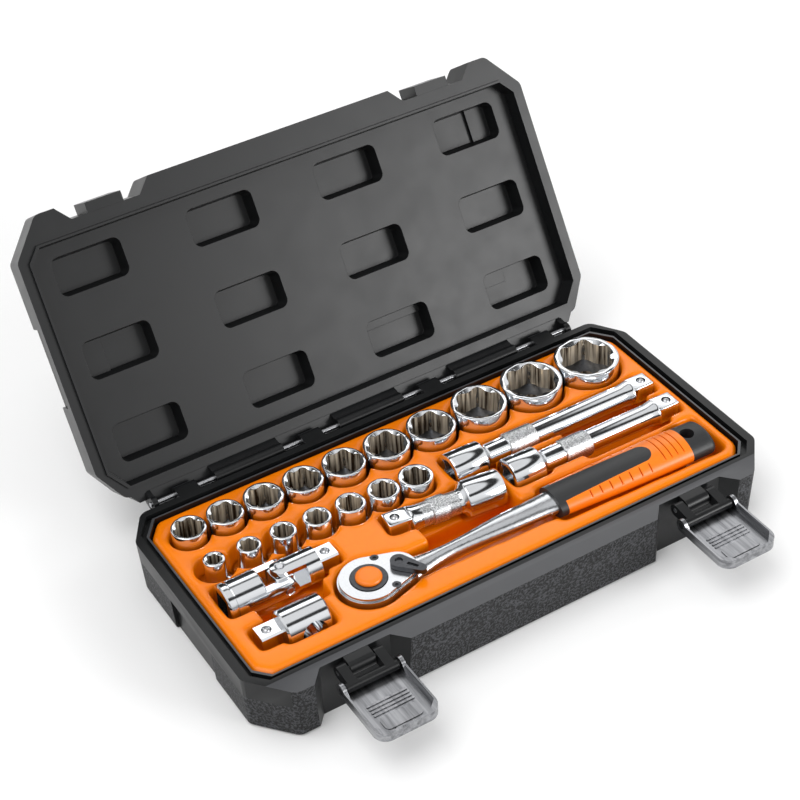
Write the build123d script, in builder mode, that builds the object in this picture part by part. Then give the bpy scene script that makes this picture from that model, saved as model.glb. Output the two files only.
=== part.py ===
# Half-inch drive socket set in a hinged moulded case, lid standing open.
# Millimetres, +Z up, origin at the middle of the base underside, latches toward -Y.
import os
from math import atan2, cos, degrees, hypot, radians, sin, tan

from build123d import *

os.makedirs("parts", exist_ok=True)

# Case
base_height = 38.0
lid_height = 26.0
wall = 2.6
draft = 3.0
rim_side = 9.4
rim_back = 8.4
rim_front = 20.7
flange_depth = 8.0
front_corner = (20.0, 24.0)
back_corner = (13.0, 20.5)
opening_front_corner = (8.0, 9.0)
opening_back_corner = (10.0, 13.0)
corner_round = 6.0
lip_width = 1.2
lip_drop = 1.0
groove_width = 2.6
groove_depth = 4.0
ridge_gap = 0.4
ridge_width = 1.4
ridge_height = 1.8
rim_gap = 0.2
side_recess_half = 25.5
side_recess_depth = 3.0
side_band = 14.0
lid_side_recess = 3.6
lid_side_band = 8.0
foot_round = 2.0

# Lid inside
lid_open_angle = 122.0
panel_drop = 9.0
panel_draft = 8.0
pocket_width = 46.0
pocket_height = 24.5
pocket_pitch_x = 91.2
pocket_pitch_y = 54.0
pocket_row_shift = 3.4
pocket_skin = 1.5
pocket_round = 5.0
pocket_pad = 2.4
bulge_out = 5.5
bulge_inner = 155.0
bulge_outer = 161.0

# Raised pads on the pocket floors: column, row, then their edges as shares of the pocket
pocket_pads = [(1.5, -1, 0.16, 0.5, -0.5, 0.5), (-1.5, 0, -0.5, -0.16, -0.5, 0.5),
               (0.5, 1, -0.5, 0.5, -0.5, -0.22), (1.5, 1, -0.5, -0.04, -0.5, -0.08)]

# Hinge
hinge_drop = 4.9
hinge_out = 8.4
knuckle_radius = 4.5
hinge_pin_radius = 1.75
hinge_pin_half = 157.0
base_knuckle_length = 14.5
lid_knuckle_length = 48.0
knuckle_pitch = 44.25
lid_lug_length = 3.5
running_clearance = 0.08

# Latches
latch_offset = 117.4
recess_depth = 9.5
recess_inner = 45.5
recess_mouth = 62.4
tongue_width = 16.3
tongue_thick = 9.0
barrel_radius = 4.5
barrel_drop = 4.5
barrel_out = 5.5
latch_pin_radius = 1.5
link_reach = 12.2
link_sag = 0.5
link_inner = 9.0
link_thick = 6.0
bar_radius = 3.0
bar_half = 16.6
stub_radius = 2.0
lever_half = 20.0
lever_sheet = 1.2
lever_offset = 3.4
lever_reach = 41.0
lever_lip = 5.2
lever_flange = 5.0
lever_ear = 4.2
lever_round = 8.0
lever_first_rib = 15.5
lever_rib_pitch = 2.6
keeper_half = 12.0
keeper_depth = 6.5
lever_closed_turn = 173.0
hook_gap = 0.3

# Sockets: size, mouth diameter
front_sockets = [(8, 13.3), (10, 15.0), (11, 16.5), (12, 17.7), (13, 19.0), (14, 20.3), (15, 22.0)]
back_sockets = [(16, 21.8), (17, 23.2), (18, 25.3), (19, 25.8), (21, 27.8),
                (22, 29.8), (24, 31.8), (27, 36.1), (30, 40.4), (32, 42.7)]
socket_height = 38.0
tall_socket_height = 40.0
tall_from = 27
drive_end = 21.6
foot_step = 2.4
socket_edge = 0.7
hex_share = 0.42
hex_corner_share = 0.09
drive_square = 12.7
square_play = 0.25
square_depth = 15.0
square_corner = 1.1

# Tray and layout
tray_top = 36.0
tray_sheet = 1.5
tray_gap = 0.4
tray_skirt = 12.0
support_gap = 0.4
support_play = 0.1
support_least = 200.0
basin_floor = 11.0
left_basin = (11.0, 53.0)
middle_basin = (-33.0, 30.0)
right_basin = (88.0, 19.0)
end_land = 10.3
back_land = 5.35
front_land = 17.4
row_gap = 1.9
front_gap = 1.15
row_step = 33.0
row_drop = 4.0
front_row_drop = 4.8
back_row_y = 57.5
pocket_play = 1.6
tool_gap = 0.3
axis_z = 33.0

# Extension bars: length, socket end length, knurl start, knurl length
bar_od = 15.0
bar_end_od = 23.5
bar_knurl_od = 17.0
square_length = 14.5
long_bar = (153.0, 24.0, 42.0, 21.0)
medium_bar = (127.0, 22.5, 40.0, 20.0)
short_bar = (77.2, 25.5, 37.0, 11.0)
bar_gap = 1.0
bar_margin_right = 8.2
short_bar_gap = 8.6
short_bar_yaw = 174.3

# Universal joint and sliding head
joint_od = 25.0
joint_drive_od = 22.0
joint_arm = 14.0
joint_socket_length = 24.5
joint_drive_length = 9.3
joint_block = 12.0
joint_ear_gap = 0.5
joint_pin_radius = 2.4
joint_short_pin_radius = 2.2
joint_gap = 5.2
joint_margin_left = 11.0
head_od = 24.0
head_length = 28.4
head_bore = 12.0
head_gap = 12.5
head_margin_left = 14.1
ball_radius = 2.6
ball_proud = 0.9
ball_hole_depth = 6.7

# Ratchet
ratchet_margin_left = 89.3
ratchet_shift = 2.8
ratchet_yaw = -1.6
ratchet_head = 18.7
ratchet_tail = 13.0
ratchet_tail_u = 18.5
ratchet_bottom = 22.5
ratchet_deck = 37.0
cover_thick = 2.5
cover_inset = 1.0
gear_radius = 11.6
gear_teeth = 90
tooth_height = 0.55
tooth_clearance = 0.14
gear_floor = 2.5
gear_ring_radius = 11.0
gear_ring_proud = 0.6
journal_radius = 9.4
button_radius = 8.0
button_top = 42.6
button_travel = 3.0
stem_radius = 1.7
stem_neck = 0.9
lever_pivot_u = 20.2
lever_shaft = 3.0
lever_hub = 5.2
reverse_lever_length = 15.0
reverse_lever_rest = -55.0
reverse_lever_thick = 3.4
screw_u = 11.0
screw_v = 13.2
screw_radius = 2.6
pawl_depth = 3.6
pawl_half_angle = 20.0
pawl_swing = 14.0
pawl_height = 8.0
square_reach = 16.8
grip_start = 126.0
grip_end = 240.0
grip_half = 14.6
grip_thick = 8.6
grip_axis_z = 36.0
grip_skin = 2.2
grip_end_round = 3.5
tongue_end = 198.0
tongue_half = 7.0
cap_start = 222.0
hang_u = 226.5
hang_radius = 3.8
tang_radius = 4.6
tang_length = 40.0

# Derived layout
seat_z = wall + tray_sheet
back_row_length = sum(od for size, od in back_sockets) + row_gap * (len(back_sockets) - 1)
tray_half = back_row_length / 2 + end_land
opening_half = tray_half + tray_gap
largest_od = max(od for size, od in back_sockets)
tray_back = back_row_y - row_drop + largest_od / 2 + back_land
opening_back = tray_back + tray_gap
front_row_y = back_row_y - row_step
joint_y = front_row_y - drive_end / 2 - joint_od / 2 - joint_gap
head_y = joint_y - joint_od / 2 - head_od / 2 - head_gap
tray_front = -(head_y - head_od / 2 - front_land)
opening_front = tray_front + tray_gap
case_half = opening_half + rim_side
case_back = opening_back + rim_back
case_front = opening_front + rim_front
lid_rim = base_height + rim_gap
lid_top = base_height + lid_height
hinge_y = case_back + hinge_out
hinge_z = base_height - hinge_drop
hinge_axis = Axis((0, hinge_y, hinge_z), (1, 0, 0))
recess_floor = -case_front + recess_depth
barrel_y = recess_floor - barrel_out
barrel_z = base_height - barrel_drop
bar_y = barrel_y - link_reach
bar_z = barrel_z - link_sag
long_y = front_row_y - 5.0
medium_y = long_y - bar_end_od - bar_gap
gear_x = -tray_half + ratchet_margin_left
gear_y = head_y + ratchet_shift
head_top = ratchet_deck + cover_thick


def save(part, name):
    part.label = name
    export_step(part, "parts/" + name + ".step")


def octagon(half, front, back, low, high):
    right = [(half - low[0], -front), (half, low[1] - front), (half, back - high[1]), (half - high[0], back)]
    return right + [(-x, y) for x, y in reversed(right)]


def case_outline(grow=0.0):
    Polygon(*octagon(case_half + grow, case_front + grow, case_back + grow, front_corner, back_corner), align=None)


def opening_outline(grow=0.0, mode=Mode.ADD):
    Polygon(*octagon(opening_half + grow, opening_front + grow, opening_back + grow,
                     opening_front_corner, opening_back_corner), align=None, mode=mode)


def latch_recesses(grow=0.0):
    far = case_front + 10.0
    slope = (recess_mouth - recess_inner) / 2 / recess_depth
    inner = recess_inner / 2 + grow
    mouth = inner + slope * (far - case_front + recess_depth)
    for side in (-1, 1):
        with Locations((side * latch_offset, 0)):
            Polygon((-inner, recess_floor + grow), (inner, recess_floor + grow), (mouth, -far), (-mouth, -far),
                    align=None)


def side_recesses(depth, grow=0.0):
    for side in (-1, 1):
        with Locations((side * (case_half - depth - grow + 10.0), 0)):
            Rectangle(20.0, 2 * (side_recess_half + grow))


def tool_planes(x, y, z, yaw):
    top = Plane(Location((x, y, z), (0, 0, yaw)))
    side = Plane(top.origin, top.x_dir, -top.y_dir)
    end = Plane(top.origin, top.y_dir, top.x_dir)
    return top, side, end


def on_tool(frame, u, v):
    return frame.origin + frame.x_dir * u + frame.y_dir * v


# Case base
with BuildPart() as base_hollow:
    with BuildSketch(Plane.XY.offset(wall)):
        case_outline(-wall - (base_height - wall) * tan(radians(draft)))
    extrude(amount=base_height - flange_depth - wall, taper=-draft)
    with BuildSketch(Plane.XY):
        latch_recesses(wall)
        side_recesses(side_recess_depth + base_height * tan(radians(draft)) / 2, wall)
    extrude(amount=base_height, mode=Mode.SUBTRACT)

with BuildPart() as base_shell:
    with BuildSketch(Plane.XY) as base_foot:
        case_outline(-base_height * tan(radians(draft)))
        fillet(base_foot.vertices(), corner_round)
    extrude(amount=base_height, taper=-draft)
    fillet(base_shell.faces().sort_by(Axis.Z)[0].edges(), foot_round)
    with BuildSketch(Plane.XY.offset(base_height)):
        opening_outline()
    extrude(amount=-(base_height - wall), mode=Mode.SUBTRACT)
    add(base_hollow.part, mode=Mode.SUBTRACT)
    with BuildSketch(Plane.XY.offset(base_height)):
        opening_outline(lip_width)
    extrude(amount=-lip_drop, mode=Mode.SUBTRACT)
    with BuildSketch(Plane.XY.offset(base_height)):
        opening_outline(lip_width + groove_width)
        opening_outline(lip_width, Mode.SUBTRACT)
    extrude(amount=-groove_depth, mode=Mode.SUBTRACT)
    with BuildSketch(Plane.XY):
        latch_recesses()
    extrude(amount=base_height, mode=Mode.SUBTRACT)
    with BuildSketch(Plane.XY):
        side_recesses(side_recess_depth + base_height * tan(radians(draft)) / 2)
    extrude(amount=base_height - side_band, mode=Mode.SUBTRACT)
    for knuckle in (-3, -1, 1, 3):
        knuckle_mid = Plane.YZ.offset(knuckle * knuckle_pitch)
        with BuildSketch(knuckle_mid):
            with Locations((hinge_y, hinge_z)):
                Circle(knuckle_radius)
            Polygon((case_back - wall, hinge_z + knuckle_radius), (hinge_y, hinge_z + knuckle_radius),
                    (hinge_y, hinge_z - knuckle_radius), (case_back - wall, hinge_z - 2 * knuckle_radius),
                    align=None)
        extrude(amount=base_knuckle_length / 2, both=True)
        with BuildSketch(knuckle_mid):
            with Locations((hinge_y, hinge_z)):
                Circle(hinge_pin_radius)
        extrude(amount=base_knuckle_length, both=True, mode=Mode.SUBTRACT)
save(base_shell.part, "base_shell")

# Tongues in the front recesses, with the barrels the latch links turn on
with BuildPart() as latch_tongues:
    for latch_side in (-1, 1):
        latch_mid = Plane.YZ.offset(latch_side * latch_offset)
        with BuildSketch(latch_mid):
            with Locations((barrel_y, barrel_z)):
                Circle(barrel_radius)
            Polygon((recess_floor, base_height), (barrel_y, base_height),
                    (barrel_y, base_height - tongue_thick), (recess_floor, base_height - tongue_thick),
                    align=None)
        extrude(amount=tongue_width / 2, both=True)
        with BuildSketch(latch_mid):
            with Locations((barrel_y, barrel_z)):
                Circle(latch_pin_radius)
        extrude(amount=tongue_width, both=True, mode=Mode.SUBTRACT)
save(latch_tongues.part, "latch_tongues")

with BuildPart() as hinge_pin:
    with BuildSketch(Plane.YZ):
        with Locations((hinge_y, hinge_z)):
            Circle(hinge_pin_radius)
    extrude(amount=hinge_pin_half, both=True)
save(hinge_pin.part, "hinge_pin")

with BuildPart() as latch_barrel_pins:
    for latch_side in (-1, 1):
        with BuildSketch(Plane.YZ.offset(latch_side * latch_offset)):
            with Locations((barrel_y, barrel_z)):
                Circle(latch_pin_radius)
        extrude(amount=link_inner + link_thick, both=True)
save(latch_barrel_pins.part, "latch_barrel_pins")

# Lid, drawn closed and then turned open about the hinge
panel_z = lid_rim + panel_drop
pocket_z = lid_top - wall - pocket_skin
panel_grow = lip_width + ridge_gap - panel_drop * tan(radians(panel_draft))


def lid_pockets(grow=0.0):
    with Locations((0, pocket_row_shift)):
        with GridLocations(pocket_pitch_x, pocket_pitch_y, 4, 3):
            RectangleRounded(pocket_width + 2 * grow, pocket_height + 2 * grow, pocket_round + grow)


with BuildPart() as lid_shell:
    with BuildSketch(Plane.XY.offset(lid_rim)) as lid_rim_face:
        case_outline()
        fillet(lid_rim_face.vertices(), corner_round)
    extrude(amount=lid_top - lid_rim, taper=draft)
    fillet(lid_shell.faces().sort_by(Axis.Z)[-1].edges(), foot_round)
    for side in (-1, 1):
        bulge = [(bulge_inner, case_back - 6.0), (case_half - 8.0, case_back - back_corner[1]),
                 (case_half - 0.5, case_back - back_corner[1] + 0.5), (bulge_outer, case_back + bulge_out),
                 (bulge_inner, case_back + bulge_out)]
        with BuildSketch(Plane.XY.offset(lid_rim)):
            Polygon(*[(side * x, y) for x, y in bulge[::side]], align=None)
        extrude(amount=lid_top - lid_rim - foot_round, taper=draft)
    with BuildSketch(Plane.XY.offset(lid_rim)):
        opening_outline(lip_width + ridge_gap)
    extrude(amount=panel_drop, taper=panel_draft, mode=Mode.SUBTRACT)
    with BuildSketch(Plane.XY.offset(panel_z)):
        opening_outline(panel_grow)
    extrude(amount=lid_top - wall - panel_z, mode=Mode.SUBTRACT)
    with BuildSketch(Plane.XY.offset(lid_rim)):
        opening_outline(lip_width + ridge_gap + ridge_width)
        opening_outline(lip_width + ridge_gap, Mode.SUBTRACT)
    extrude(amount=-ridge_height)
    with BuildSketch(Plane.XY.offset(lid_rim)):
        latch_recesses()
    extrude(amount=lid_height, mode=Mode.SUBTRACT)
    with BuildSketch(Plane.XY.offset(lid_rim + lid_side_band)):
        side_recesses(lid_side_recess)
    extrude(amount=lid_height, mode=Mode.SUBTRACT)
    keeper_top = bar_z - link_reach + link_sag + lever_reach - hook_gap
    for latch_side in (-1, 1):
        with BuildSketch(Plane.YZ.offset(latch_side * latch_offset)):
            Polygon((recess_floor + 1.0, lid_rim + rim_gap), (recess_floor - keeper_depth, lid_rim + rim_gap),
                    (recess_floor - keeper_depth, keeper_top), (recess_floor + 1.0, keeper_top), align=None)
        extrude(amount=keeper_half, both=True)
    lug_spans = [(0.0, lid_knuckle_length)]
    for side in (-1, 1):
        lug_spans.append((side * 2 * knuckle_pitch, lid_knuckle_length))
        lug_spans.append((side * (bulge_inner - lid_lug_length / 2 + 0.9), lid_lug_length))
    for lug_x, lug_length in lug_spans:
        with BuildSketch(Plane.YZ.offset(lug_x)):
            with Locations((hinge_y, hinge_z)):
                Circle(knuckle_radius)
            Polygon((case_back - wall, lid_rim + 1.0), (case_back + 0.5, lid_rim + 0.5),
                    (hinge_y - knuckle_radius, hinge_z + 1.0), (hinge_y + knuckle_radius, hinge_z + 1.0),
                    (case_back - wall, lid_rim + 14.0), align=None)
        extrude(amount=lug_length / 2, both=True)
        with BuildSketch(Plane.YZ.offset(lug_x)):
            with Locations((hinge_y, hinge_z)):
                Circle(hinge_pin_radius + running_clearance)
        extrude(amount=lug_length, both=True, mode=Mode.SUBTRACT)
    with BuildSketch(Plane.YZ):
        Polygon((case_back - wall, lid_rim + 1.0), (case_back + 0.5, lid_rim + 0.5),
                (hinge_y + knuckle_radius, lid_rim + 0.5), (case_back - wall, lid_rim + 14.0), align=None)
    extrude(amount=bulge_inner + 1.0, both=True)
save(lid_shell.part.rotate(hinge_axis, -lid_open_angle), "lid_shell")

with BuildPart() as lid_panel:
    with BuildSketch(Plane.XY.offset(panel_z)):
        opening_outline(panel_grow)
    extrude(amount=wall)
    with BuildSketch(Plane.XY.offset(panel_z)):
        lid_pockets(wall)
    extrude(amount=lid_top - wall - panel_z)
    with BuildSketch(Plane.XY.offset(panel_z)):
        lid_pockets()
    extrude(amount=pocket_z - panel_z, taper=panel_draft, mode=Mode.SUBTRACT)
    for column, row, left, right, front, back in pocket_pads:
        pad_x = column * pocket_pitch_x + (left + right) / 2 * pocket_width
        pad_y = row * pocket_pitch_y + pocket_row_shift + (front + back) / 2 * pocket_height
        with BuildSketch(Plane((pad_x, pad_y, pocket_z))):
            Rectangle((right - left) * pocket_width, (back - front) * pocket_height)
        extrude(amount=-pocket_pad)
save(lid_panel.part.rotate(hinge_axis, -lid_open_angle), "lid_panel")

# Latches, shown swung open
for latch_name, latch_x in (("left", -latch_offset), ("right", latch_offset)):
    latch_plane = Plane.YZ.offset(latch_x)
    with BuildPart() as latch_link:
        for arm_side in (-1, 1):
            with BuildSketch(latch_plane.offset(arm_side * (link_inner + link_thick / 2))) as arm:
                with Locations((barrel_y, barrel_z)):
                    Circle(barrel_radius - 0.4)
                with Locations((bar_y, bar_z)):
                    Circle(bar_radius)
                make_hull()
            extrude(amount=link_thick / 2, both=True)
        with BuildSketch(latch_plane):
            with Locations((bar_y, bar_z)):
                Circle(bar_radius)
        extrude(amount=bar_half, both=True)
        with BuildSketch(latch_plane):
            with Locations((bar_y, bar_z)):
                Circle(stub_radius)
        extrude(amount=lever_half, both=True)
        with BuildSketch(latch_plane):
            with Locations((barrel_y, barrel_z)):
                Circle(latch_pin_radius + running_clearance)
        extrude(amount=lever_half, both=True, mode=Mode.SUBTRACT)
    save(latch_link.part, "latch_link_" + latch_name)

    plate_z = bar_z - lever_offset
    tip_y = bar_y - lever_reach - lever_sheet
    root_y = bar_y + lever_ear
    with BuildPart() as latch_lever:
        with BuildSketch(Plane((latch_x, 0, plate_z))) as plate:
            Polygon((-lever_half, root_y - 2.0), (lever_half, root_y - 2.0), (lever_half, tip_y),
                    (-lever_half, tip_y), align=None)
            fillet(plate.vertices().sort_by(Axis.Y)[:2], lever_round)
        extrude(amount=-lever_sheet)
        with BuildSketch(Plane((latch_x, 0, plate_z))) as flange:
            Polygon((-lever_half, bar_y - 3.0), (lever_half, bar_y - 3.0), (lever_half, tip_y), (-lever_half, tip_y),
                    align=None)
            fillet(flange.vertices().sort_by(Axis.Y)[:2], lever_round)
            Polygon((lever_sheet - lever_half, bar_y + 1.0), (lever_half - lever_sheet, bar_y + 1.0),
                    (lever_half - lever_sheet, tip_y + lever_round), (lever_half - lever_round, tip_y + lever_sheet),
                    (lever_round - lever_half, tip_y + lever_sheet), (lever_sheet - lever_half, tip_y + lever_round),
                    align=None, mode=Mode.SUBTRACT)
        extrude(amount=lever_lip)
        for ear_side in (-1, 1):
            with BuildSketch(latch_plane.offset(ear_side * (lever_half - lever_sheet))):
                with Locations((bar_y, bar_z)):
                    Circle(lever_ear)
                Polygon((root_y - 2.0, plate_z), (bar_y - 8.0, plate_z), (bar_y - 4.0, bar_z + 2.0), (bar_y, bar_z),
                        align=None)
                with Locations((bar_y, bar_z)):
                    Circle(stub_radius + running_clearance, mode=Mode.SUBTRACT)
            extrude(amount=lever_sheet, both=True)
        for rib in range(4):
            with BuildSketch(Plane((latch_x, bar_y - lever_first_rib - lever_rib_pitch * rib, plate_z))):
                RectangleRounded(2 * lever_half - 14.0, 1.4, 0.6)
            extrude(amount=0.6)
        with BuildSketch(Plane((latch_x, bar_y - lever_reach + 10.0, plate_z))):
            RectangleRounded(2 * lever_half - 16.0, 10.0, 3.0)
        extrude(amount=0.5)
    save(latch_lever.part, "latch_lever_" + latch_name)


# Sockets
def make_socket(size, mouth_od, x, y):
    tall = tall_socket_height if size >= tall_from else socket_height
    rim = mouth_od / 2
    foot = drive_end / 2 if mouth_od < drive_end else rim - foot_step / 2
    step = tall * 0.5
    slope = abs(rim - foot)
    hex_depth = tall * hex_share
    flat = size / 2
    corner = flat / cos(radians(30))
    lead = min(corner + 0.35, rim - 0.5)
    seat = Plane((x, y, seat_z))
    spin = Axis((x, y, 0), (0, 0, 1))
    with BuildPart() as socket:
        with BuildSketch(Plane((x, y, seat_z), (1, 0, 0), (0, -1, 0))):
            Polygon((0, 0), (foot - socket_edge, 0), (foot, socket_edge), (foot, step), (rim, step + slope),
                    (rim, tall - socket_edge), (rim - socket_edge, tall), (0, tall), align=None)
        revolve(axis=spin)
        with BuildSketch(seat.offset(tall)) as six:
            RegularPolygon(flat, 6, major_radius=False, rotation=30.0)
            fillet(six.vertices(), size * hex_corner_share)
        extrude(amount=-hex_depth, mode=Mode.SUBTRACT)
        with BuildSketch(Plane((x, y, seat_z), (1, 0, 0), (0, -1, 0))):
            Polygon((0, tall - (lead - flat * 0.9) * 0.6), (flat * 0.9, tall - (lead - flat * 0.9) * 0.6),
                    (lead, tall), (0, tall), align=None)
        revolve(axis=spin, mode=Mode.SUBTRACT)
        with BuildSketch(seat):
            Rectangle(drive_square + square_play, drive_square + square_play)
        extrude(amount=square_depth, mode=Mode.SUBTRACT)
        with BuildSketch(seat):
            Circle(min(flat, drive_square / 2) * 0.9)
        extrude(amount=tall, mode=Mode.SUBTRACT)
    save(socket.part, "socket_%02d" % size)


pockets = []
row_x = -back_row_length / 2
back_row_start = row_x + back_sockets[0][1] / 2
for size, od in back_sockets:
    row_x += od / 2
    share = (row_x + back_row_length / 2) / back_row_length
    row_y = back_row_y - row_drop * share
    make_socket(size, od, row_x, row_y)
    pockets.append(("disc", seat_z, row_x, row_y, od / 2 + pocket_play))
    row_x += od / 2 + row_gap
for index, (size, od) in enumerate(front_sockets):
    row_x = back_row_start + index * (drive_end + front_gap)
    row_y = front_row_y - front_row_drop * index / (len(front_sockets) - 1)
    make_socket(size, od, row_x, row_y)
    pockets.append(("disc", seat_z, row_x, row_y, max(od, drive_end) / 2 + pocket_play))


# Drive squares with a sprung detent ball on the upper face
def drive_outline():
    flat = drive_square / 2
    edge = flat - square_corner
    Polygon((flat, edge), (edge, flat), (-edge, flat), (-flat, edge), (-flat, -edge), (-edge, -flat), (edge, -flat),
            (flat, -edge), align=None)


def make_ball(name, seat):
    middle = seat.offset(ball_proud - ball_radius).origin
    with BuildPart() as ball:
        with Locations(Location(middle)):
            Sphere(ball_radius)
    save(ball.part, name)


def make_extension(name, sizes, x, y, yaw):
    length, cup, knurl, knurl_length = sizes
    top, side, end = tool_planes(x, y, axis_z, yaw)
    spin = Axis(top.origin, top.x_dir)
    body_end = length - square_length
    big = bar_end_od / 2
    thin = bar_od / 2
    grip = bar_knurl_od / 2
    ball_seat = Plane(on_tool(top, length - 6.0, 0) + Vector(0, 0, drive_square / 2), top.x_dir, (0, 0, 1))
    with BuildPart() as extension:
        with BuildSketch(side):
            Polygon((0, 0), (0, big - 1.0), (1.0, big), (cup - 1.0, big), (cup + 1.2, thin + 1.2), (cup + 4.0, thin),
                    (knurl - 0.8, thin), (knurl, grip), (knurl + knurl_length, grip),
                    (knurl + knurl_length + 0.8, thin), (body_end - 7.0, thin), (body_end - 2.0, grip),
                    (body_end, grip - 0.4), (body_end, 0), align=None)
        revolve(axis=spin)
        with BuildSketch(end.offset(body_end)):
            drive_outline()
        extrude(amount=square_length)
        with BuildSketch(end):
            Rectangle(drive_square + square_play, drive_square + square_play)
        extrude(amount=square_depth, mode=Mode.SUBTRACT)
        with BuildSketch(ball_seat):
            Circle(ball_radius + running_clearance)
        extrude(amount=-ball_hole_depth, mode=Mode.SUBTRACT)
    save(extension.part, name)
    make_ball(name + "_ball", ball_seat)
    start = on_tool(top, -1.2, 0)
    middle = on_tool(top, cup + 2.5, 0)
    finish = on_tool(top, length + 1.2, 0)
    pockets.append(("slot", axis_z - big - tool_gap, start.X, start.Y, middle.X, middle.Y, big + 1.0))
    pockets.append(("slot", axis_z - grip - tool_gap, middle.X, middle.Y, finish.X, finish.Y, grip + 1.2))


long_x = tray_half - bar_margin_right - long_bar[0]
medium_x = tray_half - bar_margin_right + 1.1 - medium_bar[0]
short_x = medium_x - short_bar_gap
make_extension("extension_long", long_bar, long_x, long_y, -0.4)
make_extension("extension_medium", medium_bar, medium_x, medium_y, -0.7)
make_extension("extension_short", short_bar, short_x, medium_y - 4.4, short_bar_yaw)

# Universal joint: socket yoke, cross block on a long pin, drive yoke on two short pins
joint_x = -tray_half + joint_margin_left
joint_top, joint_side, joint_end = tool_planes(joint_x, joint_y, axis_z, 0.0)
cross_u = joint_socket_length + joint_arm
cross = Plane(on_tool(joint_top, cross_u, 0))
half_block = joint_block / 2
ear_in = half_block + joint_ear_gap
ear_reach = half_block
joint_total = cross_u + joint_arm + joint_drive_length + square_length - 1.8
joint_ball_seat = Plane(on_tool(joint_top, joint_total - 6.0, 0) + Vector(0, 0, drive_square / 2))
joint_spin = Axis(joint_top.origin, joint_top.x_dir)

with BuildPart() as uj_socket_yoke:
    with BuildSketch(joint_side):
        Polygon((0, 0), (0, joint_od / 2 - 1.0), (1.0, joint_od / 2), (4.0, joint_od / 2), (4.0, joint_od / 2 - 0.8),
                (5.5, joint_od / 2 - 0.8), (5.5, joint_od / 2), (joint_socket_length - 1.0, joint_od / 2),
                (joint_socket_length, joint_od / 2 - 1.0), (joint_socket_length, 0), align=None)
    revolve(axis=joint_spin)
    with BuildSketch(joint_side):
        with Locations((cross_u, 0)):
            Circle(half_block)
        Polygon((joint_socket_length - 2.0, half_block), (cross_u, half_block), (cross_u, -half_block),
                (joint_socket_length - 2.0, -half_block), align=None)
    extrude(amount=joint_od / 2, both=True)
    with BuildSketch(joint_side):
        Polygon((joint_socket_length, half_block + 2.0), (cross_u + half_block + 2.0, half_block + 2.0),
                (cross_u + half_block + 2.0, -half_block - 2.0), (joint_socket_length, -half_block - 2.0), align=None)
    extrude(amount=ear_in, both=True, mode=Mode.SUBTRACT)
    with BuildSketch(joint_end) as joint_round:
        Circle(joint_od / 2)
    extrude(amount=joint_total, mode=Mode.INTERSECT)
    with BuildSketch(joint_end):
        Rectangle(drive_square + square_play, drive_square + square_play)
    extrude(amount=square_depth, mode=Mode.SUBTRACT)
    with BuildSketch(joint_side):
        with Locations((cross_u, 0)):
            Circle(joint_pin_radius)
    extrude(amount=joint_od, both=True, mode=Mode.SUBTRACT)
save(uj_socket_yoke.part, "uj_socket_yoke")

with BuildPart() as uj_cross_block:
    with BuildSketch(cross.offset(-half_block)):
        Rectangle(joint_block, joint_block)
    extrude(amount=joint_block)
    chamfer(uj_cross_block.edges(), 0.8)
    with BuildSketch(joint_side):
        with Locations((cross_u, 0)):
            Circle(joint_pin_radius + running_clearance)
    extrude(amount=joint_od, both=True, mode=Mode.SUBTRACT)
    with BuildSketch(cross):
        Circle(joint_short_pin_radius)
    extrude(amount=joint_od, both=True, mode=Mode.SUBTRACT)
save(uj_cross_block.part, "uj_cross_block")

with BuildPart() as uj_long_pin:
    with BuildSketch(joint_side):
        with Locations((cross_u, 0)):
            Circle(joint_pin_radius)
    extrude(amount=joint_od / 2 - 0.4, both=True)
save(uj_long_pin.part, "uj_long_pin")

drive_root = cross_u + joint_arm
with BuildPart() as uj_drive_yoke:
    with BuildSketch(joint_end.offset(drive_root)):
        Circle(joint_drive_od / 2)
    extrude(amount=joint_drive_length)
    with BuildSketch(cross):
        Circle(half_block)
        with Locations((joint_arm / 2 + 1.0, 0)):
            Rectangle(joint_arm + 2.0, joint_block)
    extrude(amount=joint_drive_od / 2, both=True)
    with BuildSketch(cross):
        with Locations(((joint_arm - joint_block) / 2, 0)):
            Rectangle(joint_arm + joint_block, joint_block + 4.0)
    extrude(amount=ear_in, both=True, mode=Mode.SUBTRACT)
    with BuildSketch(joint_end):
        Circle(joint_drive_od / 2)
    extrude(amount=joint_total, mode=Mode.INTERSECT)
    with BuildSketch(joint_end.offset(drive_root + joint_drive_length)):
        drive_outline()
    extrude(amount=joint_total - drive_root - joint_drive_length)
    with BuildSketch(cross):
        Circle(joint_short_pin_radius + running_clearance)
    extrude(amount=joint_od, both=True, mode=Mode.SUBTRACT)
    with BuildSketch(joint_ball_seat):
        Circle(ball_radius + running_clearance)
    extrude(amount=-ball_hole_depth, mode=Mode.SUBTRACT)
save(uj_drive_yoke.part, "uj_drive_yoke")
make_ball("uj_detent_ball", joint_ball_seat)

with BuildPart() as uj_short_pins:
    for pin_side in (-1, 1):
        with BuildSketch(cross.offset(pin_side * (joint_pin_radius + 1.6))):
            Circle(joint_short_pin_radius)
        extrude(amount=pin_side * (joint_drive_od / 2 - joint_pin_radius - 2.0))
save(uj_short_pins.part, "uj_short_pins")
pockets.append(("slot", axis_z - joint_od / 2 - tool_gap, joint_x - 2.0, joint_y,
                joint_x + drive_root + joint_drive_length + 1.5, joint_y, joint_od / 2 + 2.0))
pockets.append(("slot", axis_z - drive_square / 2 - 3.0, joint_x + drive_root, joint_y, joint_x + joint_total + 1.8,
                joint_y, drive_square / 2 + 3.2))

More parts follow.
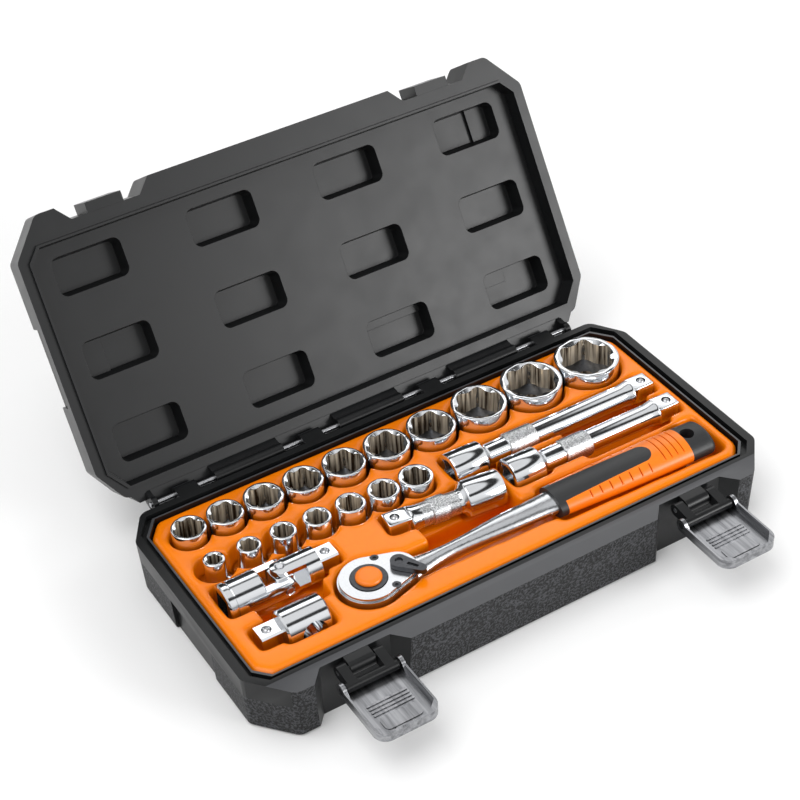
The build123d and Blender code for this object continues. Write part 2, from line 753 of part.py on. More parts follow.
# Sliding head with its cross bore, drive square to the left
head_x = -tray_half + head_margin_left
head_top_plane, head_side, head_end = tool_planes(head_x, head_y, axis_z, 0.0)
head_total = square_length + head_length
head_ball_seat = Plane(on_tool(head_top_plane, 6.0, 0) + Vector(0, 0, drive_square / 2))
with BuildPart() as t_head:
    with BuildSketch(head_side):
        Polygon((square_length, 0), (square_length, head_od / 2 - 1.2), (square_length + 1.2, head_od / 2),
                (head_total - 1.2, head_od / 2), (head_total, head_od / 2 - 1.2), (head_total, 0), align=None)
    revolve(axis=Axis(head_top_plane.origin, head_top_plane.x_dir))
    with BuildSketch(head_end):
        drive_outline()
    extrude(amount=square_length + 1.0)
    with BuildSketch(head_side):
        with Locations((square_length + head_length * 0.58, 0)):
            Circle(head_bore / 2)
    extrude(amount=head_od, both=True, mode=Mode.SUBTRACT)
    with BuildSketch(head_ball_seat):
        Circle(ball_radius + running_clearance)
    extrude(amount=-ball_hole_depth, mode=Mode.SUBTRACT)
save(t_head.part, "t_head")
make_ball("t_head_ball", head_ball_seat)
pockets.append(("slot", axis_z - head_od / 2 - tool_gap, head_x + square_length - 1.5, head_y, head_x + head_total + 2.4,
                head_y, head_od / 2 + 1.5))
pockets.append(("slot", axis_z - drive_square / 2 - 3.0, head_x - 2.0, head_y, head_x + square_length, head_y,
                drive_square / 2 + 3.2))
pockets.append(("slot", basin_floor, head_x + left_basin[0], (joint_y + head_y) / 2, head_x + left_basin[1],
                (joint_y + head_y) / 2, 10.0))

# Ratchet
rt, rt_side, rt_end = tool_planes(gear_x, gear_y, 0.0, ratchet_yaw)
gear_cavity = gear_radius + 0.35
pawl_inner = gear_radius + tooth_clearance
pawl_outer = pawl_inner + pawl_depth
pawl_bottom = ratchet_bottom + gear_floor + tool_gap
gear_z = ratchet_bottom + gear_floor + tool_gap


def head_outline(grow):
    Circle(ratchet_head + grow)
    with Locations((ratchet_tail_u, 0)):
        Circle(ratchet_tail + grow)


def sector(inner, outer, half_angle):
    reach = 2 * outer
    Circle(outer)
    Circle(inner, mode=Mode.SUBTRACT)
    Polygon((0, 0), (reach * cos(radians(half_angle)), reach * sin(radians(half_angle))), (reach, reach), (-reach, reach),
            (-reach, -reach), (reach, -reach), (reach * cos(radians(half_angle)), -reach * sin(radians(half_angle))),
            align=None, mode=Mode.SUBTRACT)


# u, half width, axis height, half thickness along the neck and shank
shank_sections = [(24.0, 12.0, 29.6, 6.9), (38.0, 7.4, 30.6, 6.2), (52.0, 5.5, 31.8, 5.6), (80.0, 6.8, 34.2, 5.4),
                  (104.0, 8.2, 35.4, 5.4), (grip_start, 9.5, grip_axis_z, 5.5)]
with BuildPart() as ratchet_body:
    for shank_u, shank_half, shank_z, shank_thick in shank_sections:
        with BuildSketch(rt_end.offset(shank_u)):
            with Locations((0, shank_z)):
                Ellipse(shank_half, shank_thick)
    loft()
    with BuildSketch(rt.offset(ratchet_bottom)):
        head_outline(0.0)
        make_hull()
    extrude(amount=ratchet_deck - ratchet_bottom)
    with BuildSketch(rt_end.offset(grip_start)):
        with Locations((0, grip_axis_z)):
            Circle(tang_radius)
    extrude(amount=tang_length)
    with BuildSketch(rt.offset(ratchet_bottom + gear_floor)):
        Circle(gear_cavity)
    extrude(amount=ratchet_deck, mode=Mode.SUBTRACT)
    with BuildSketch(rt.offset(ratchet_bottom + gear_floor)):
        sector(gear_radius - 2.0, pawl_outer + 0.35, pawl_half_angle + pawl_swing / 2 + 2.5)
    extrude(amount=pawl_height + 2 * tool_gap, mode=Mode.SUBTRACT)
    with BuildSketch(rt.offset(ratchet_bottom)):
        Circle(journal_radius + running_clearance)
    extrude(amount=gear_floor, mode=Mode.SUBTRACT)
    with BuildSketch(rt.offset(ratchet_deck)):
        with Locations((lever_pivot_u, 0)):
            Circle(lever_shaft + running_clearance)
    extrude(amount=-8.0, mode=Mode.SUBTRACT)
    with BuildSketch(rt.offset(ratchet_deck)):
        with Locations((screw_u, screw_v), (screw_u, -screw_v)):
            Circle(1.2)
    extrude(amount=-6.0, mode=Mode.SUBTRACT)
save(ratchet_body.part, "ratchet_body")

with BuildPart() as ratchet_cover_plate:
    with BuildSketch(rt.offset(ratchet_deck)):
        head_outline(-cover_inset)
        make_hull()
        Circle(gear_ring_radius + 0.3, mode=Mode.SUBTRACT)
        with Locations((lever_pivot_u, 0)):
            Circle(lever_shaft + running_clearance, mode=Mode.SUBTRACT)
        with Locations((screw_u, screw_v), (screw_u, -screw_v)):
            Circle(1.2, mode=Mode.SUBTRACT)
    extrude(amount=cover_thick)
    with BuildSketch(rt.offset(head_top)):
        with Locations((screw_u, screw_v), (screw_u, -screw_v)):
            Circle(screw_radius)
    extrude(amount=-1.4, mode=Mode.SUBTRACT)
save(ratchet_cover_plate.part, "ratchet_cover_plate")

with BuildPart() as ratchet_cover_screws:
    for screw_side in (-1, 1):
        with BuildSketch(rt.offset(head_top - 1.4)):
            with Locations((screw_u, screw_side * screw_v)):
                Circle(screw_radius)
        extrude(amount=1.2)
        with BuildSketch(rt.offset(head_top - 1.4)):
            with Locations((screw_u, screw_side * screw_v)):
                Circle(1.2)
        extrude(amount=-6.0)
        with BuildSketch(rt.offset(head_top - 0.2)):
            with Locations((screw_u, screw_side * screw_v)):
                RegularPolygon(1.2, 6)
        extrude(amount=-0.9, mode=Mode.SUBTRACT)
save(ratchet_cover_screws.part, "ratchet_cover_screws")

gear_points = []
for tooth in range(gear_teeth):
    for offset, radius in ((0.0, gear_radius), (0.5, gear_radius - tooth_height)):
        turn = radians((tooth + offset) * 360.0 / gear_teeth)
        gear_points.append((radius * cos(turn), radius * sin(turn)))
square_bottom = ratchet_bottom - square_reach
drive_ball_z = square_bottom + 6.0
drive_ball_seat = Plane(on_tool(rt, 0, -drive_square / 2) + Vector(0, 0, drive_ball_z), rt.x_dir, -rt.y_dir)
with BuildPart() as drive_gear:
    with BuildSketch(rt.offset(gear_z)):
        Polygon(*gear_points, align=None)
    extrude(amount=ratchet_deck - gear_z - 0.6)
    with BuildSketch(rt.offset(ratchet_deck - 1.0)):
        Circle(gear_ring_radius)
    extrude(amount=cover_thick + gear_ring_proud + 1.0)
    with BuildSketch(rt.offset(gear_z)):
        Circle(journal_radius)
    extrude(amount=-(gear_z - ratchet_bottom))
    with BuildSketch(rt.offset(ratchet_bottom)):
        drive_outline()
    extrude(amount=-square_reach)
    with BuildSketch(rt.offset(head_top + gear_ring_proud)):
        Circle(button_radius + running_clearance)
    extrude(amount=-8.0, mode=Mode.SUBTRACT)
    with BuildSketch(rt.offset(head_top)):
        Circle(stem_radius + running_clearance)
    extrude(amount=-(head_top - square_bottom - 2.0), mode=Mode.SUBTRACT)
    with BuildSketch(drive_ball_seat):
        Circle(ball_radius + running_clearance)
    extrude(amount=-drive_square / 2, mode=Mode.SUBTRACT)
save(drive_gear.part, "drive_gear")

button_floor = head_top + gear_ring_proud - 8.0
button_base = button_floor + button_travel + 0.3
with BuildPart() as release_button:
    with BuildSketch(Plane(rt.origin, rt.x_dir, -rt.y_dir)):
        Polygon((0, button_base), (button_radius, button_base), (button_radius, button_top - 1.6),
                (button_radius - 0.8, button_top - 0.6), (button_radius - 3.0, button_top), (0, button_top), align=None)
    revolve(axis=Axis(rt.origin, (0, 0, 1)))
    with BuildSketch(rt.offset(button_base)):
        Circle(stem_radius)
    extrude(amount=-(button_base - square_bottom - 5.6))
    with BuildSketch(rt.offset(drive_ball_z - ball_radius - tool_gap + button_travel)):
        Circle(stem_radius + 1.0)
        Circle(stem_neck, mode=Mode.SUBTRACT)
    extrude(amount=2 * (ball_radius + tool_gap), mode=Mode.SUBTRACT)
save(release_button.part, "release_button")

with BuildPart() as button_spring:
    with BuildSketch(rt.offset(button_floor + 0.05)):
        Circle(stem_radius + 1.8)
        Circle(stem_radius + 0.6, mode=Mode.SUBTRACT)
    extrude(amount=button_base - button_floor - 0.1)
save(button_spring.part, "button_spring")
make_ball("drive_ball", drive_ball_seat)

pawl_points = []
pawl_steps = int(2 * pawl_half_angle * gear_teeth / 360.0)
for step in range(2 * pawl_steps + 1):
    turn = radians(-pawl_half_angle + step * pawl_half_angle / pawl_steps)
    radius = pawl_inner + (tooth_height if step % 2 else 0.0)
    pawl_points.append((radius * cos(turn), radius * sin(turn)))
for step in range(9):
    turn = radians(pawl_half_angle - step * pawl_half_angle / 4)
    pawl_points.append((pawl_outer * cos(turn), pawl_outer * sin(turn)))
pawl_turn = Plane(Location((gear_x, gear_y, 0), (0, 0, ratchet_yaw - pawl_swing / 2)))
with BuildPart() as ratchet_pawl:
    with BuildSketch(pawl_turn.offset(pawl_bottom)):
        Polygon(*pawl_points, align=None)
    extrude(amount=pawl_height)
save(ratchet_pawl.part, "ratchet_pawl")

lever_tip_u = lever_pivot_u + reverse_lever_length * cos(radians(reverse_lever_rest))
lever_tip_v = reverse_lever_length * sin(radians(reverse_lever_rest))
with BuildPart() as reverse_lever:
    with BuildSketch(rt.offset(head_top + tool_gap)):
        with Locations((lever_pivot_u, 0)):
            Circle(lever_hub)
        with Locations((lever_tip_u, lever_tip_v)):
            Circle(lever_hub - 2.4)
        make_hull()
    extrude(amount=reverse_lever_thick)
    with BuildSketch(rt.offset(head_top + tool_gap)):
        with Locations((lever_pivot_u, 0)):
            Circle(lever_shaft)
    extrude(amount=-(cover_thick + tool_gap + 7.5))
save(reverse_lever.part, "reverse_lever")

# Grip: black core with collar, tongue and end cap, orange sleeve around it
grip_sections = [(0.0, 0.87, 0.87), (0.32, 0.95, 0.96), (0.66, 1.0, 1.0), (1.0, 0.97, 0.95)]


def grip_oval(wide, thick, shrink):
    with Locations((0, grip_axis_z)):
        Ellipse(grip_half * wide - shrink, grip_thick * thick - shrink)


def grip_tongue():
    with Locations((tongue_end - tongue_half, 0)):
        Circle(tongue_half)
    Polygon((grip_start - 5.0, tongue_half + 2.0), (tongue_end - tongue_half, tongue_half),
            (tongue_end - tongue_half, -tongue_half), (grip_start - 5.0, -tongue_half - 2.0), align=None)


with BuildPart() as grip_inner:
    for share, wide, thick in grip_sections:
        with BuildSketch(rt_end.offset(grip_start + share * (grip_end - grip_start))):
            grip_oval(wide, thick, grip_skin)
    loft()

with BuildPart() as grip_panels:
    for share, wide, thick in grip_sections:
        with BuildSketch(rt_end.offset(grip_start + share * (grip_end - grip_start))):
            grip_oval(wide, thick, 0.0)
    loft()
    with BuildSketch(rt):
        with Locations(((grip_start + 5.0 + cap_start) / 2, 0)):
            Rectangle(cap_start - grip_start - 5.0, 4 * grip_half)
    extrude(amount=2 * grip_axis_z, mode=Mode.INTERSECT)
    add(grip_inner.part, mode=Mode.SUBTRACT)
    with BuildSketch(rt):
        grip_tongue()
    extrude(amount=2 * grip_axis_z, mode=Mode.SUBTRACT)
save(grip_panels.part, "grip_panels")

with BuildPart() as grip_core:
    for share, wide, thick in grip_sections:
        with BuildSketch(rt_end.offset(grip_start + share * (grip_end - grip_start))):
            grip_oval(wide, thick, 0.0)
    loft()
    fillet(grip_core.faces().sort_by(Axis.X)[-1].edges(), grip_end_round)
    add(grip_panels.part, mode=Mode.SUBTRACT)
    with BuildSketch(rt_end.offset(grip_start)):
        with Locations((0, grip_axis_z)):
            Circle(tang_radius)
    extrude(amount=tang_length, mode=Mode.SUBTRACT)
    with BuildSketch(rt):
        with Locations((hang_u, 0)):
            Circle(hang_radius)
    extrude(amount=2 * grip_axis_z, mode=Mode.SUBTRACT)
save(grip_core.part, "grip_core")

tail = on_tool(rt, ratchet_tail_u, 0)
neck = on_tool(rt, grip_start - 1.5, 0)
heel = on_tool(rt, grip_end + 2.2, 0)
for share in (0.0, 0.25, 0.5, 0.75, 1.0):
    spot = on_tool(rt, ratchet_tail_u * share, 0)
    spot_radius = ratchet_head + (ratchet_tail - ratchet_head) * share + pocket_play
    pockets.append(("disc", ratchet_bottom - tool_gap, spot.X, spot.Y, spot_radius))
pockets.append(("disc", square_bottom - tool_gap, gear_x, gear_y, drive_square * 0.71 + pocket_play))
pockets.append(("slot", ratchet_bottom - tool_gap, tail.X, tail.Y, neck.X, neck.Y, 11.2))
pockets.append(("slot", grip_axis_z - grip_thick - tool_gap, neck.X, neck.Y, heel.X, heel.Y, grip_half + 1.4))

# Finger basins between the tools
basin_left = right_basin[0]
basin_right = tray_half - right_basin[1]
pockets.append(("slot", basin_floor, basin_left, (medium_y + long_y) / 2 - 4.0, basin_right,
                (medium_y + long_y) / 2 - 4.0, 24.5))
pockets.append(("slot", basin_floor, middle_basin[0], gear_y + 13.5, middle_basin[1], gear_y + 13.5, 11.5))


def draw_pocket(pocket, grow, mode=Mode.ADD):
    if pocket[0] == "disc":
        with Locations((pocket[2], pocket[3])):
            Circle(pocket[4] + grow, mode=mode)
    else:
        kind, floor, x0, y0, x1, y1, half = pocket
        yaw = degrees(atan2(y1 - y0, x1 - x0))
        with Locations(Location(((x0 + x1) / 2, (y0 + y1) / 2, 0), (0, 0, yaw))):
            Rectangle(hypot(x1 - x0, y1 - y0) + 2 * grow, 2 * (half + grow), mode=mode)


floors = sorted(set(pocket[1] for pocket in pockets))
with BuildPart() as tray_space:
    for floor in floors:
        with BuildSketch(Plane.XY.offset(floor)):
            for pocket in pockets:
                if pocket[1] == floor:
                    draw_pocket(pocket, 0.0)
        extrude(amount=tray_top + 1.0 - floor)

with BuildPart() as tool_tray:
    with BuildSketch(Plane.XY.offset(tray_top)):
        opening_outline(-tray_gap)
    extrude(amount=-tray_skirt)
    with BuildSketch(Plane.XY.offset(tray_top - tray_sheet)):
        opening_outline(-tray_gap - tray_sheet)
    extrude(amount=-tray_skirt, mode=Mode.SUBTRACT)
    for floor in floors:
        with BuildSketch(Plane.XY.offset(floor - tray_sheet)):
            for pocket in pockets:
                if pocket[1] == floor:
                    draw_pocket(pocket, tray_sheet)
        extrude(amount=tray_top - floor + tray_sheet)
    add(tray_space.part, mode=Mode.SUBTRACT)
save(tool_tray.part, "tool_tray")

# Support blocks that stand on the case floor and back the tray sheet between its wells
well_grow = tray_sheet + support_play
support_half = tray_half - tray_sheet
support_back = tray_back - tray_sheet
support_front = tray_sheet - tray_front
support_top = tray_top - tray_sheet
front_row_length = (drive_end + front_gap) * (len(front_sockets) - 1)
lands = []


def back_line(x):
    return back_row_y - row_drop * (x / back_row_length + 0.5)


def front_line(x):
    return front_row_y - front_row_drop * (x - back_row_start) / front_row_length


def middle_line(x):
    return (back_line(x) + front_line(x)) / 2


def level(y):
    return lambda x: y


def add_band(cuts, low, high):
    gap = support_gap / 2
    for left, right in zip(cuts, cuts[1:]):
        lands.append([(left + gap, low(left) + gap), (right - gap, low(right) + gap),
                      (right - gap, high(right) - gap), (left + gap, high(left) - gap)])


bars_left = long_x - 1.2 - well_grow
joint_left = joint_x - 2.0 - well_grow
joint_right = joint_x + joint_total + 1.8 + well_grow
square_left = head_x - 2.0 - well_grow
hollow_left = head_x + left_basin[0] - well_grow
hollow_right = head_x + left_basin[1] + well_grow
head_right = head_x + head_total + 2.4 + well_grow
grip_left = neck.X - well_grow
grip_right = heel.X + well_grow + 0.5
joint_low = joint_y - joint_od / 2 - 2.0 - well_grow
square_high = head_y + drive_square / 2 + 3.2 + well_grow
medium_low = medium_y - bar_end_od / 2 - 1.0 - well_grow
short_end = short_x + (short_bar[0] + 1.2 + well_grow) * cos(radians(short_bar_yaw))
back_xs = [pocket[2] for pocket in pockets[:len(back_sockets)]]
front_xs = [pocket[2] for pocket in pockets[len(back_sockets):len(back_sockets) + len(front_sockets)]]
add_band([-support_half] + back_xs + [support_half], back_line, level(support_back))
add_band([-support_half] + [x for x in back_xs if x < bars_left] + [bars_left], middle_line, back_line)
add_band([bars_left] + [x for x in back_xs if x > bars_left] + [support_half], level(long_y), back_line)
add_band([-support_half] + front_xs + [bars_left], front_line, middle_line)
add_band([joint_left] + [x for x in front_xs if x < joint_right] + [joint_right]
         + [x for x in front_xs if x > joint_right + 1.0] + [bars_left], level(joint_y), front_line)
add_band([-support_half, joint_left], level(joint_low), front_line)
add_band([-support_half, hollow_left], level(square_high), level(joint_low))
add_band([-support_half, square_left], level(support_front), level(square_high))
add_band([square_left, head_right], level(support_front), level(head_y))
add_band([head_right, gear_x, tail.X - 2.0, grip_left, grip_right, support_half], level(support_front),
         level(gear_y - 4.0))
add_band([hollow_right, joint_right, short_end], level(gear_y), level(joint_y))
add_band([short_end, middle_basin[0] - well_grow], level(gear_y), level(joint_y))
add_band([middle_basin[1] + well_grow, grip_left], level(gear_y), level(medium_low))
add_band([grip_left, basin_left - well_grow], level(gear_y), level(medium_y))
add_band([basin_right + well_grow, grip_right], level(gear_y), level(medium_y))
add_band([grip_right, support_half], level(gear_y - 4.0), level(medium_y))

# Rests under the shallow wells: left, right, front, back, well floor
bar_floor = axis_z - bar_knurl_od / 2 - tool_gap
rests = [(long_x + long_bar[1] + 6.0, basin_left - 3.0, long_y - 8.5, long_y + 8.0, bar_floor),
         (medium_x + medium_bar[1] + 6.0, basin_left - 3.0, medium_y - 9.0, medium_y + 8.0, bar_floor),
         (joint_x, joint_x + drive_root + 8.0, joint_y - 5.0, joint_y + 12.0, axis_z - joint_od / 2 - tool_gap),
         (head_x + square_length, head_x + head_total, head_y - 11.0, head_y + 5.0, axis_z - head_od / 2 - tool_gap),
         (tail.X + 3.0, middle_basin[0] - 4.0, tail.Y - 9.0, tail.Y + 8.0, ratchet_bottom - tool_gap),
         (neck.X + 3.0, heel.X - 3.0, heel.Y - 10.0, neck.Y + 10.0, grip_axis_z - grip_thick - tool_gap)]
with BuildPart() as tray_blocks:
    with BuildSketch(Plane.XY.offset(wall)):
        for land in lands:
            Polygon(*land, align=None)
        for pocket in pockets:
            draw_pocket(pocket, well_grow, Mode.SUBTRACT)
        opening_outline(-tray_gap - tray_sheet, Mode.INTERSECT)
    extrude(amount=support_top - wall)
    for left, right, front, back, floor in rests:
        with BuildSketch(Plane(((left + right) / 2, (front + back) / 2, wall))):
            Rectangle(right - left, back - front)
        extrude(amount=floor - tray_sheet - wall)
tray_supports = Compound([block for block in tray_blocks.solids() if block.volume > support_least])
save(tray_supports, "tray_supports")
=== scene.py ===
import bpy
from math import atan2, cos, pi, radians, sin
from mathutils import Matrix, Vector


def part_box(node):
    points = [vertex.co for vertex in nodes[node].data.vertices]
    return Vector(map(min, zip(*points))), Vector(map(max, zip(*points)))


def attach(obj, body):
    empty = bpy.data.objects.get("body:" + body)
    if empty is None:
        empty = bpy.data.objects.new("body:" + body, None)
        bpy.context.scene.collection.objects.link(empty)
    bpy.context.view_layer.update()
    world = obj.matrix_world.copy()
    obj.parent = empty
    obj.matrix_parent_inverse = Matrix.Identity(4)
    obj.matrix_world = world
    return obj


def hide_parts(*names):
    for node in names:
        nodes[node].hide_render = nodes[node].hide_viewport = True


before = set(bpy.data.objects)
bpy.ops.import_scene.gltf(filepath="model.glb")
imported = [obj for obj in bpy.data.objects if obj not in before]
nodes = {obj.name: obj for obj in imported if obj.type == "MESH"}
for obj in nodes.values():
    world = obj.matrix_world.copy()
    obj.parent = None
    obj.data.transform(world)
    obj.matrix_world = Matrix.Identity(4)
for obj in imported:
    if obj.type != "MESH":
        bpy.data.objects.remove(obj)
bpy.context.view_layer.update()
mm = 0.001


def pick(*pieces):
    bpy.ops.object.select_all(action="DESELECT")
    for piece in pieces:
        piece.select_set(True)
    bpy.context.view_layer.objects.active = pieces[0]


def openMesh(piece, kind="VERT", chosen="SELECT"):
    pick(piece)
    bpy.ops.object.mode_set(mode="EDIT")
    bpy.ops.mesh.select_mode(type=kind)
    bpy.ops.mesh.select_all(action=chosen)


def closeMesh():
    bpy.ops.object.mode_set(mode="OBJECT")


def settle(piece, name):
    piece.name = name
    piece.data.name = name
    pick(piece)
    bpy.ops.object.transform_apply(location=True, rotation=True, scale=True)
    return piece


def placed(piece, at, turn=(0, 0, 0)):
    piece.location = [value * mm for value in at]
    piece.rotation_euler = [radians(value) for value in turn]
    return settle(piece, piece.name)


def modify(piece, kind, **settings):
    pick(piece)
    modifier = piece.modifiers.new(kind.title(), kind)
    for key, value in settings.items():
        setattr(modifier, key, value)
    bpy.ops.object.modifier_apply(modifier=modifier.name)


def bevelled(piece, width, segments, sharper, **settings):
    modify(piece, "BEVEL", width=width * mm, segments=segments, limit_method="ANGLE",
           angle_limit=radians(sharper), **settings)


def smooth(piece, angle):
    pick(piece)
    bpy.ops.object.shade_smooth_by_angle(angle=radians(angle))


def joined(pieces, name):
    pick(*pieces)
    bpy.ops.object.join()
    return settle(bpy.context.view_layer.objects.active, name)


def cutAway(piece, cutters):
    for cutter in cutters:
        modify(piece, "BOOLEAN", object=cutter, operation="DIFFERENCE", solver="MANIFOLD")
        bpy.data.objects.remove(cutter)


def splitAt(piece, point, normal, **settings):
    openMesh(piece)
    bpy.ops.mesh.bisect(plane_co=[value * mm for value in point], plane_no=normal, **settings)
    closeMesh()


def finished(piece, body, finish, *replaced):
    piece.data.materials.clear()
    for material in finish if isinstance(finish, list) else [finish]:
        piece.data.materials.append(material)
    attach(piece, body)
    if replaced:
        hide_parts(*replaced)
    return piece


# a circle pulled along +Z through its profile, as on a lathe; each step is (height, radius)
def turned(name, profile, sides):
    bpy.ops.object.select_all(action="DESELECT")
    height, radius = profile[0]
    bpy.ops.mesh.primitive_circle_add(vertices=sides, radius=radius * mm, fill_type="NGON",
                                      location=(0, 0, height * mm))
    piece = settle(bpy.context.active_object, name)
    openMesh(piece)
    for nextHeight, nextRadius in profile[1:]:
        bpy.ops.mesh.extrude_region_move(TRANSFORM_OT_translate={"value": (0, 0, (nextHeight - height) * mm)})
        share = nextRadius / radius
        bpy.ops.transform.resize(value=(share, share, 1), center_override=(0, 0, nextHeight * mm))
        height, radius = nextHeight, nextRadius
    bpy.ops.mesh.select_all(action="SELECT")
    bpy.ops.mesh.normals_make_consistent(inside=False)
    closeMesh()
    return piece


# a box between two corners; its top can flare outwards
def block(name, low, high, flare=0.0):
    bpy.ops.object.select_all(action="DESELECT")
    middle = [(a + b) / 2 * mm for a, b in zip(low, high)]
    bpy.ops.mesh.primitive_cube_add(size=1, location=middle)
    piece = bpy.context.active_object
    piece.scale = [abs(b - a) * mm for a, b in zip(low, high)]
    settle(piece, name)
    if flare:
        for vertex in piece.data.vertices:
            if vertex.co.z > middle[2]:
                vertex.co.x += flare * mm if vertex.co.x > middle[0] else -flare * mm
                vertex.co.y += flare * mm if vertex.co.y > middle[1] else -flare * mm
    return piece


# merging distance in mm, then angles in degrees: dissolved as flat, bevelled as sharp, shaded as smooth
copySettings = {"merge": 0.002, "flat": 0.6, "sharper": 32, "shade": 40, "weight": 50}


# a copy of a node with its triangles merged, then cut, with its edges softened
def softCopy(name, node, width, segments=2, shade=copySettings["shade"], cutters=()):
    piece = nodes[node].copy()
    piece.data = nodes[node].data.copy()
    for key in list(piece.keys()):
        del piece[key]
    piece.parent = None
    piece.matrix_world = Matrix.Identity(4)
    bpy.context.scene.collection.objects.link(piece)
    piece.name = name
    piece.data.name = name
    openMesh(piece)
    bpy.ops.mesh.remove_doubles(threshold=copySettings["merge"] * mm)
    bpy.ops.mesh.dissolve_limited(angle_limit=radians(copySettings["flat"]))
    closeMesh()
    cutAway(piece, cutters)
    if width:
        bevelled(piece, width, segments, copySettings["sharper"], miter_outer="MITER_ARC")
    smooth(piece, shade)
    if width:
        modify(piece, "WEIGHTED_NORMAL", keep_sharp=True, weight=copySettings["weight"])
    return piece


# pieces that are no more than a soft copy: name, node, body, finish, edge width and the edge's segments
def dressCopies(*rows):
    for name, node, body, finish, *edge in rows:
        finished(softCopy(name, node, *edge), body, finish, node)


def middleOf(node):
    low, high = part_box(node)
    return (low + high) / 2 / mm


# Materials: one noise tints each finish, varies its roughness between two gloss values or lifts its skin;
# its size and the depth of the lift are in mm

# sRGB hex to linear
def linear(hexValue):
    parts = [int(hexValue[i:i + 2], 16) / 255 for i in (1, 3, 5)]
    return [c / 12.92 if c <= 0.04045 else ((c + 0.055) / 1.055) ** 2.4 for c in parts] + [1.0]


def addNode(tree, kind, values=None, links=None):
    node = tree.nodes.new(kind)
    for key, value in (values or {}).items():
        node.inputs[key].default_value = value
    for key, (source, output) in (links or {}).items():
        tree.links.new(source.outputs[output], node.inputs[key])
    return node


def newFinish(name, look):
    material = bpy.data.materials.new(name)
    material.use_nodes = True
    tree = material.node_tree
    shader = tree.nodes["Principled BSDF"]
    sockets = {"metallic": "Metallic", "roughness": "Roughness", "specular": "Specular IOR Level"}
    for key, socket in sockets.items():
        if key in look:
            shader.inputs[socket].default_value = look[key]
    if "colour" in look:
        shader.inputs["Base Color"].default_value = linear(look["colour"])
    if "size" not in look:
        return material
    source = (addNode(tree, "ShaderNodeTexCoord"), "Object")
    if "stretch" in look:
        stretch = addNode(tree, "ShaderNodeMapping", {"Scale": look["stretch"]}, {"Vector": source})
        source = (stretch, "Vector")
    values = {"Scale": 1 / (look["size"] * mm), "Detail": look["detail"], "Roughness": look.get("crisp", 0.5)}
    pattern = (addNode(tree, "ShaderNodeTexNoise", values, {"Vector": source}), "Fac")
    if "shades" in look:
        tint = addNode(tree, "ShaderNodeValToRGB", None, {"Fac": pattern})
        for stop, (at, shade) in zip(tint.color_ramp.elements, look["shades"]):
            stop.position = at
            stop.color = linear(shade)
        tree.links.new(tint.outputs["Color"], shader.inputs["Base Color"])
    if "gloss" in look:
        low, high = look["gloss"]
        gloss = addNode(tree, "ShaderNodeMapRange", {"To Min": low, "To Max": high}, {"Value": pattern})
        tree.links.new(gloss.outputs["Result"], shader.inputs["Roughness"])
    if "lift" in look:
        strength, depth = look["lift"]
        values = {"Strength": strength, "Distance": depth * mm}
        lift = addNode(tree, "ShaderNodeBump", values, {"Height": pattern})
        tree.links.new(lift.outputs["Normal"], shader.inputs["Normal"])
    return material


# moulded polypropylene, satin: faint flow marks and a soft wide highlight
caseSatin = newFinish("mouldedPolypropylene", {
    "size": 18.0, "detail": 4.0, "shades": ((0.0, "#0F1011"), (1.0, "#161718")), "gloss": (0.28, 0.4),
    "specular": 0.3})

# the same plastic with a coarse spark grain, drawn a little coarser than life so that it shows; the lift
# gives the grain's real bumps, and its pale specks are painted glints on them
caseGrain = newFinish("grainedPolypropylene", {
    "size": 1.5, "detail": 3.0, "crisp": 0.6, "shades": ((0.47, "#060607"), (0.6, "#414245")),
    "lift": (1.0, 0.8), "roughness": 0.5, "specular": 0.3})

# the same plastic on the front edge and the lip, drawn paler: a painted highlight for the light that they
# catch
caseBrowHighlight = newFinish("polypropylenePaintedHighlight", {
    "size": 18.0, "detail": 4.0, "shades": ((0.0, "#36373A"), (1.0, "#3E3F42")), "roughness": 0.3})

# formed glossy polystyrene: bright orange with a slight orange-peel skin
trayOrange = newFinish("formedPolystyrene", {
    "size": 3.5, "detail": 2.0, "shades": ((0.0, "#ED7700"), (1.0, "#F38002")), "lift": (0.12, 0.08),
    "roughness": 0.22, "specular": 0.3})

# chrome plate on steel: mirror bright, with a faint polish haze
chromePlate = newFinish("chromePlatedSteel", {
    "size": 2.2, "detail": 5.0, "colour": "#DADCDF", "gloss": (0.07, 0.17), "metallic": 1.0})

# plate over a shot-peened forging: softer, with a satin sheen
satinPlate = newFinish("satinChromePlate", {
    "size": 1.2, "detail": 5.0, "colour": "#C3C5C8", "gloss": (0.18, 0.3), "metallic": 1.0})

# plate over a cut knurl: its many small faces scatter the light, drawn as a speckle coarser than life
knurlPlate = newFinish("knurledChromePlate", {
    "size": 0.6, "detail": 3.0, "shades": ((0.4, "#85878A"), (0.6, "#F2F3F4")), "gloss": (0.26, 0.4),
    "metallic": 1.0})

# the broached inside of a socket: half diffuse, with a brown tint and pale streaks down the wall that are
# painted reflections
boreSteelReflections = newFinish("broachedSteelPaintedReflections", {
    "size": 2.2, "detail": 3.0, "stretch": (1.0, 1.0, 0.06), "shades": ((0.38, "#3A2A1C"), (0.62, "#FBEFDC")),
    "metallic": 0.7, "roughness": 0.2})

# pressed steel sheet, polished along its length: faint streaks, partly drawn polish marks and partly painted
# reflection bands
leverSteel = newFinish("polishedSheetSteel", {
    "size": 2.4, "detail": 4.0, "stretch": (1.0, 0.06, 1.0), "shades": ((0.36, "#747578"), (0.66, "#A2A3A6")),
    "gloss": (0.22, 0.38), "metallic": 1.0})

# bright drawn steel of the rods, pins and balls: a little dull beside the plate
rodSteel = newFinish("drawnSteelRod", {
    "size": 1.0, "detail": 3.0, "colour": "#B9BABD", "gloss": (0.22, 0.36), "metallic": 1.0})

# blackened steel of the change lever, the screws and the gear: dark, half bright; on the sockets' floors the
# same finish is painted shade
blackSteelAndFloorShade = newFinish("blackenedSteelAndPaintedShade", {
    "size": 1.4, "detail": 4.0, "shades": ((0.0, "#38393B"), (1.0, "#57585B")), "metallic": 1.0,
    "roughness": 0.3})

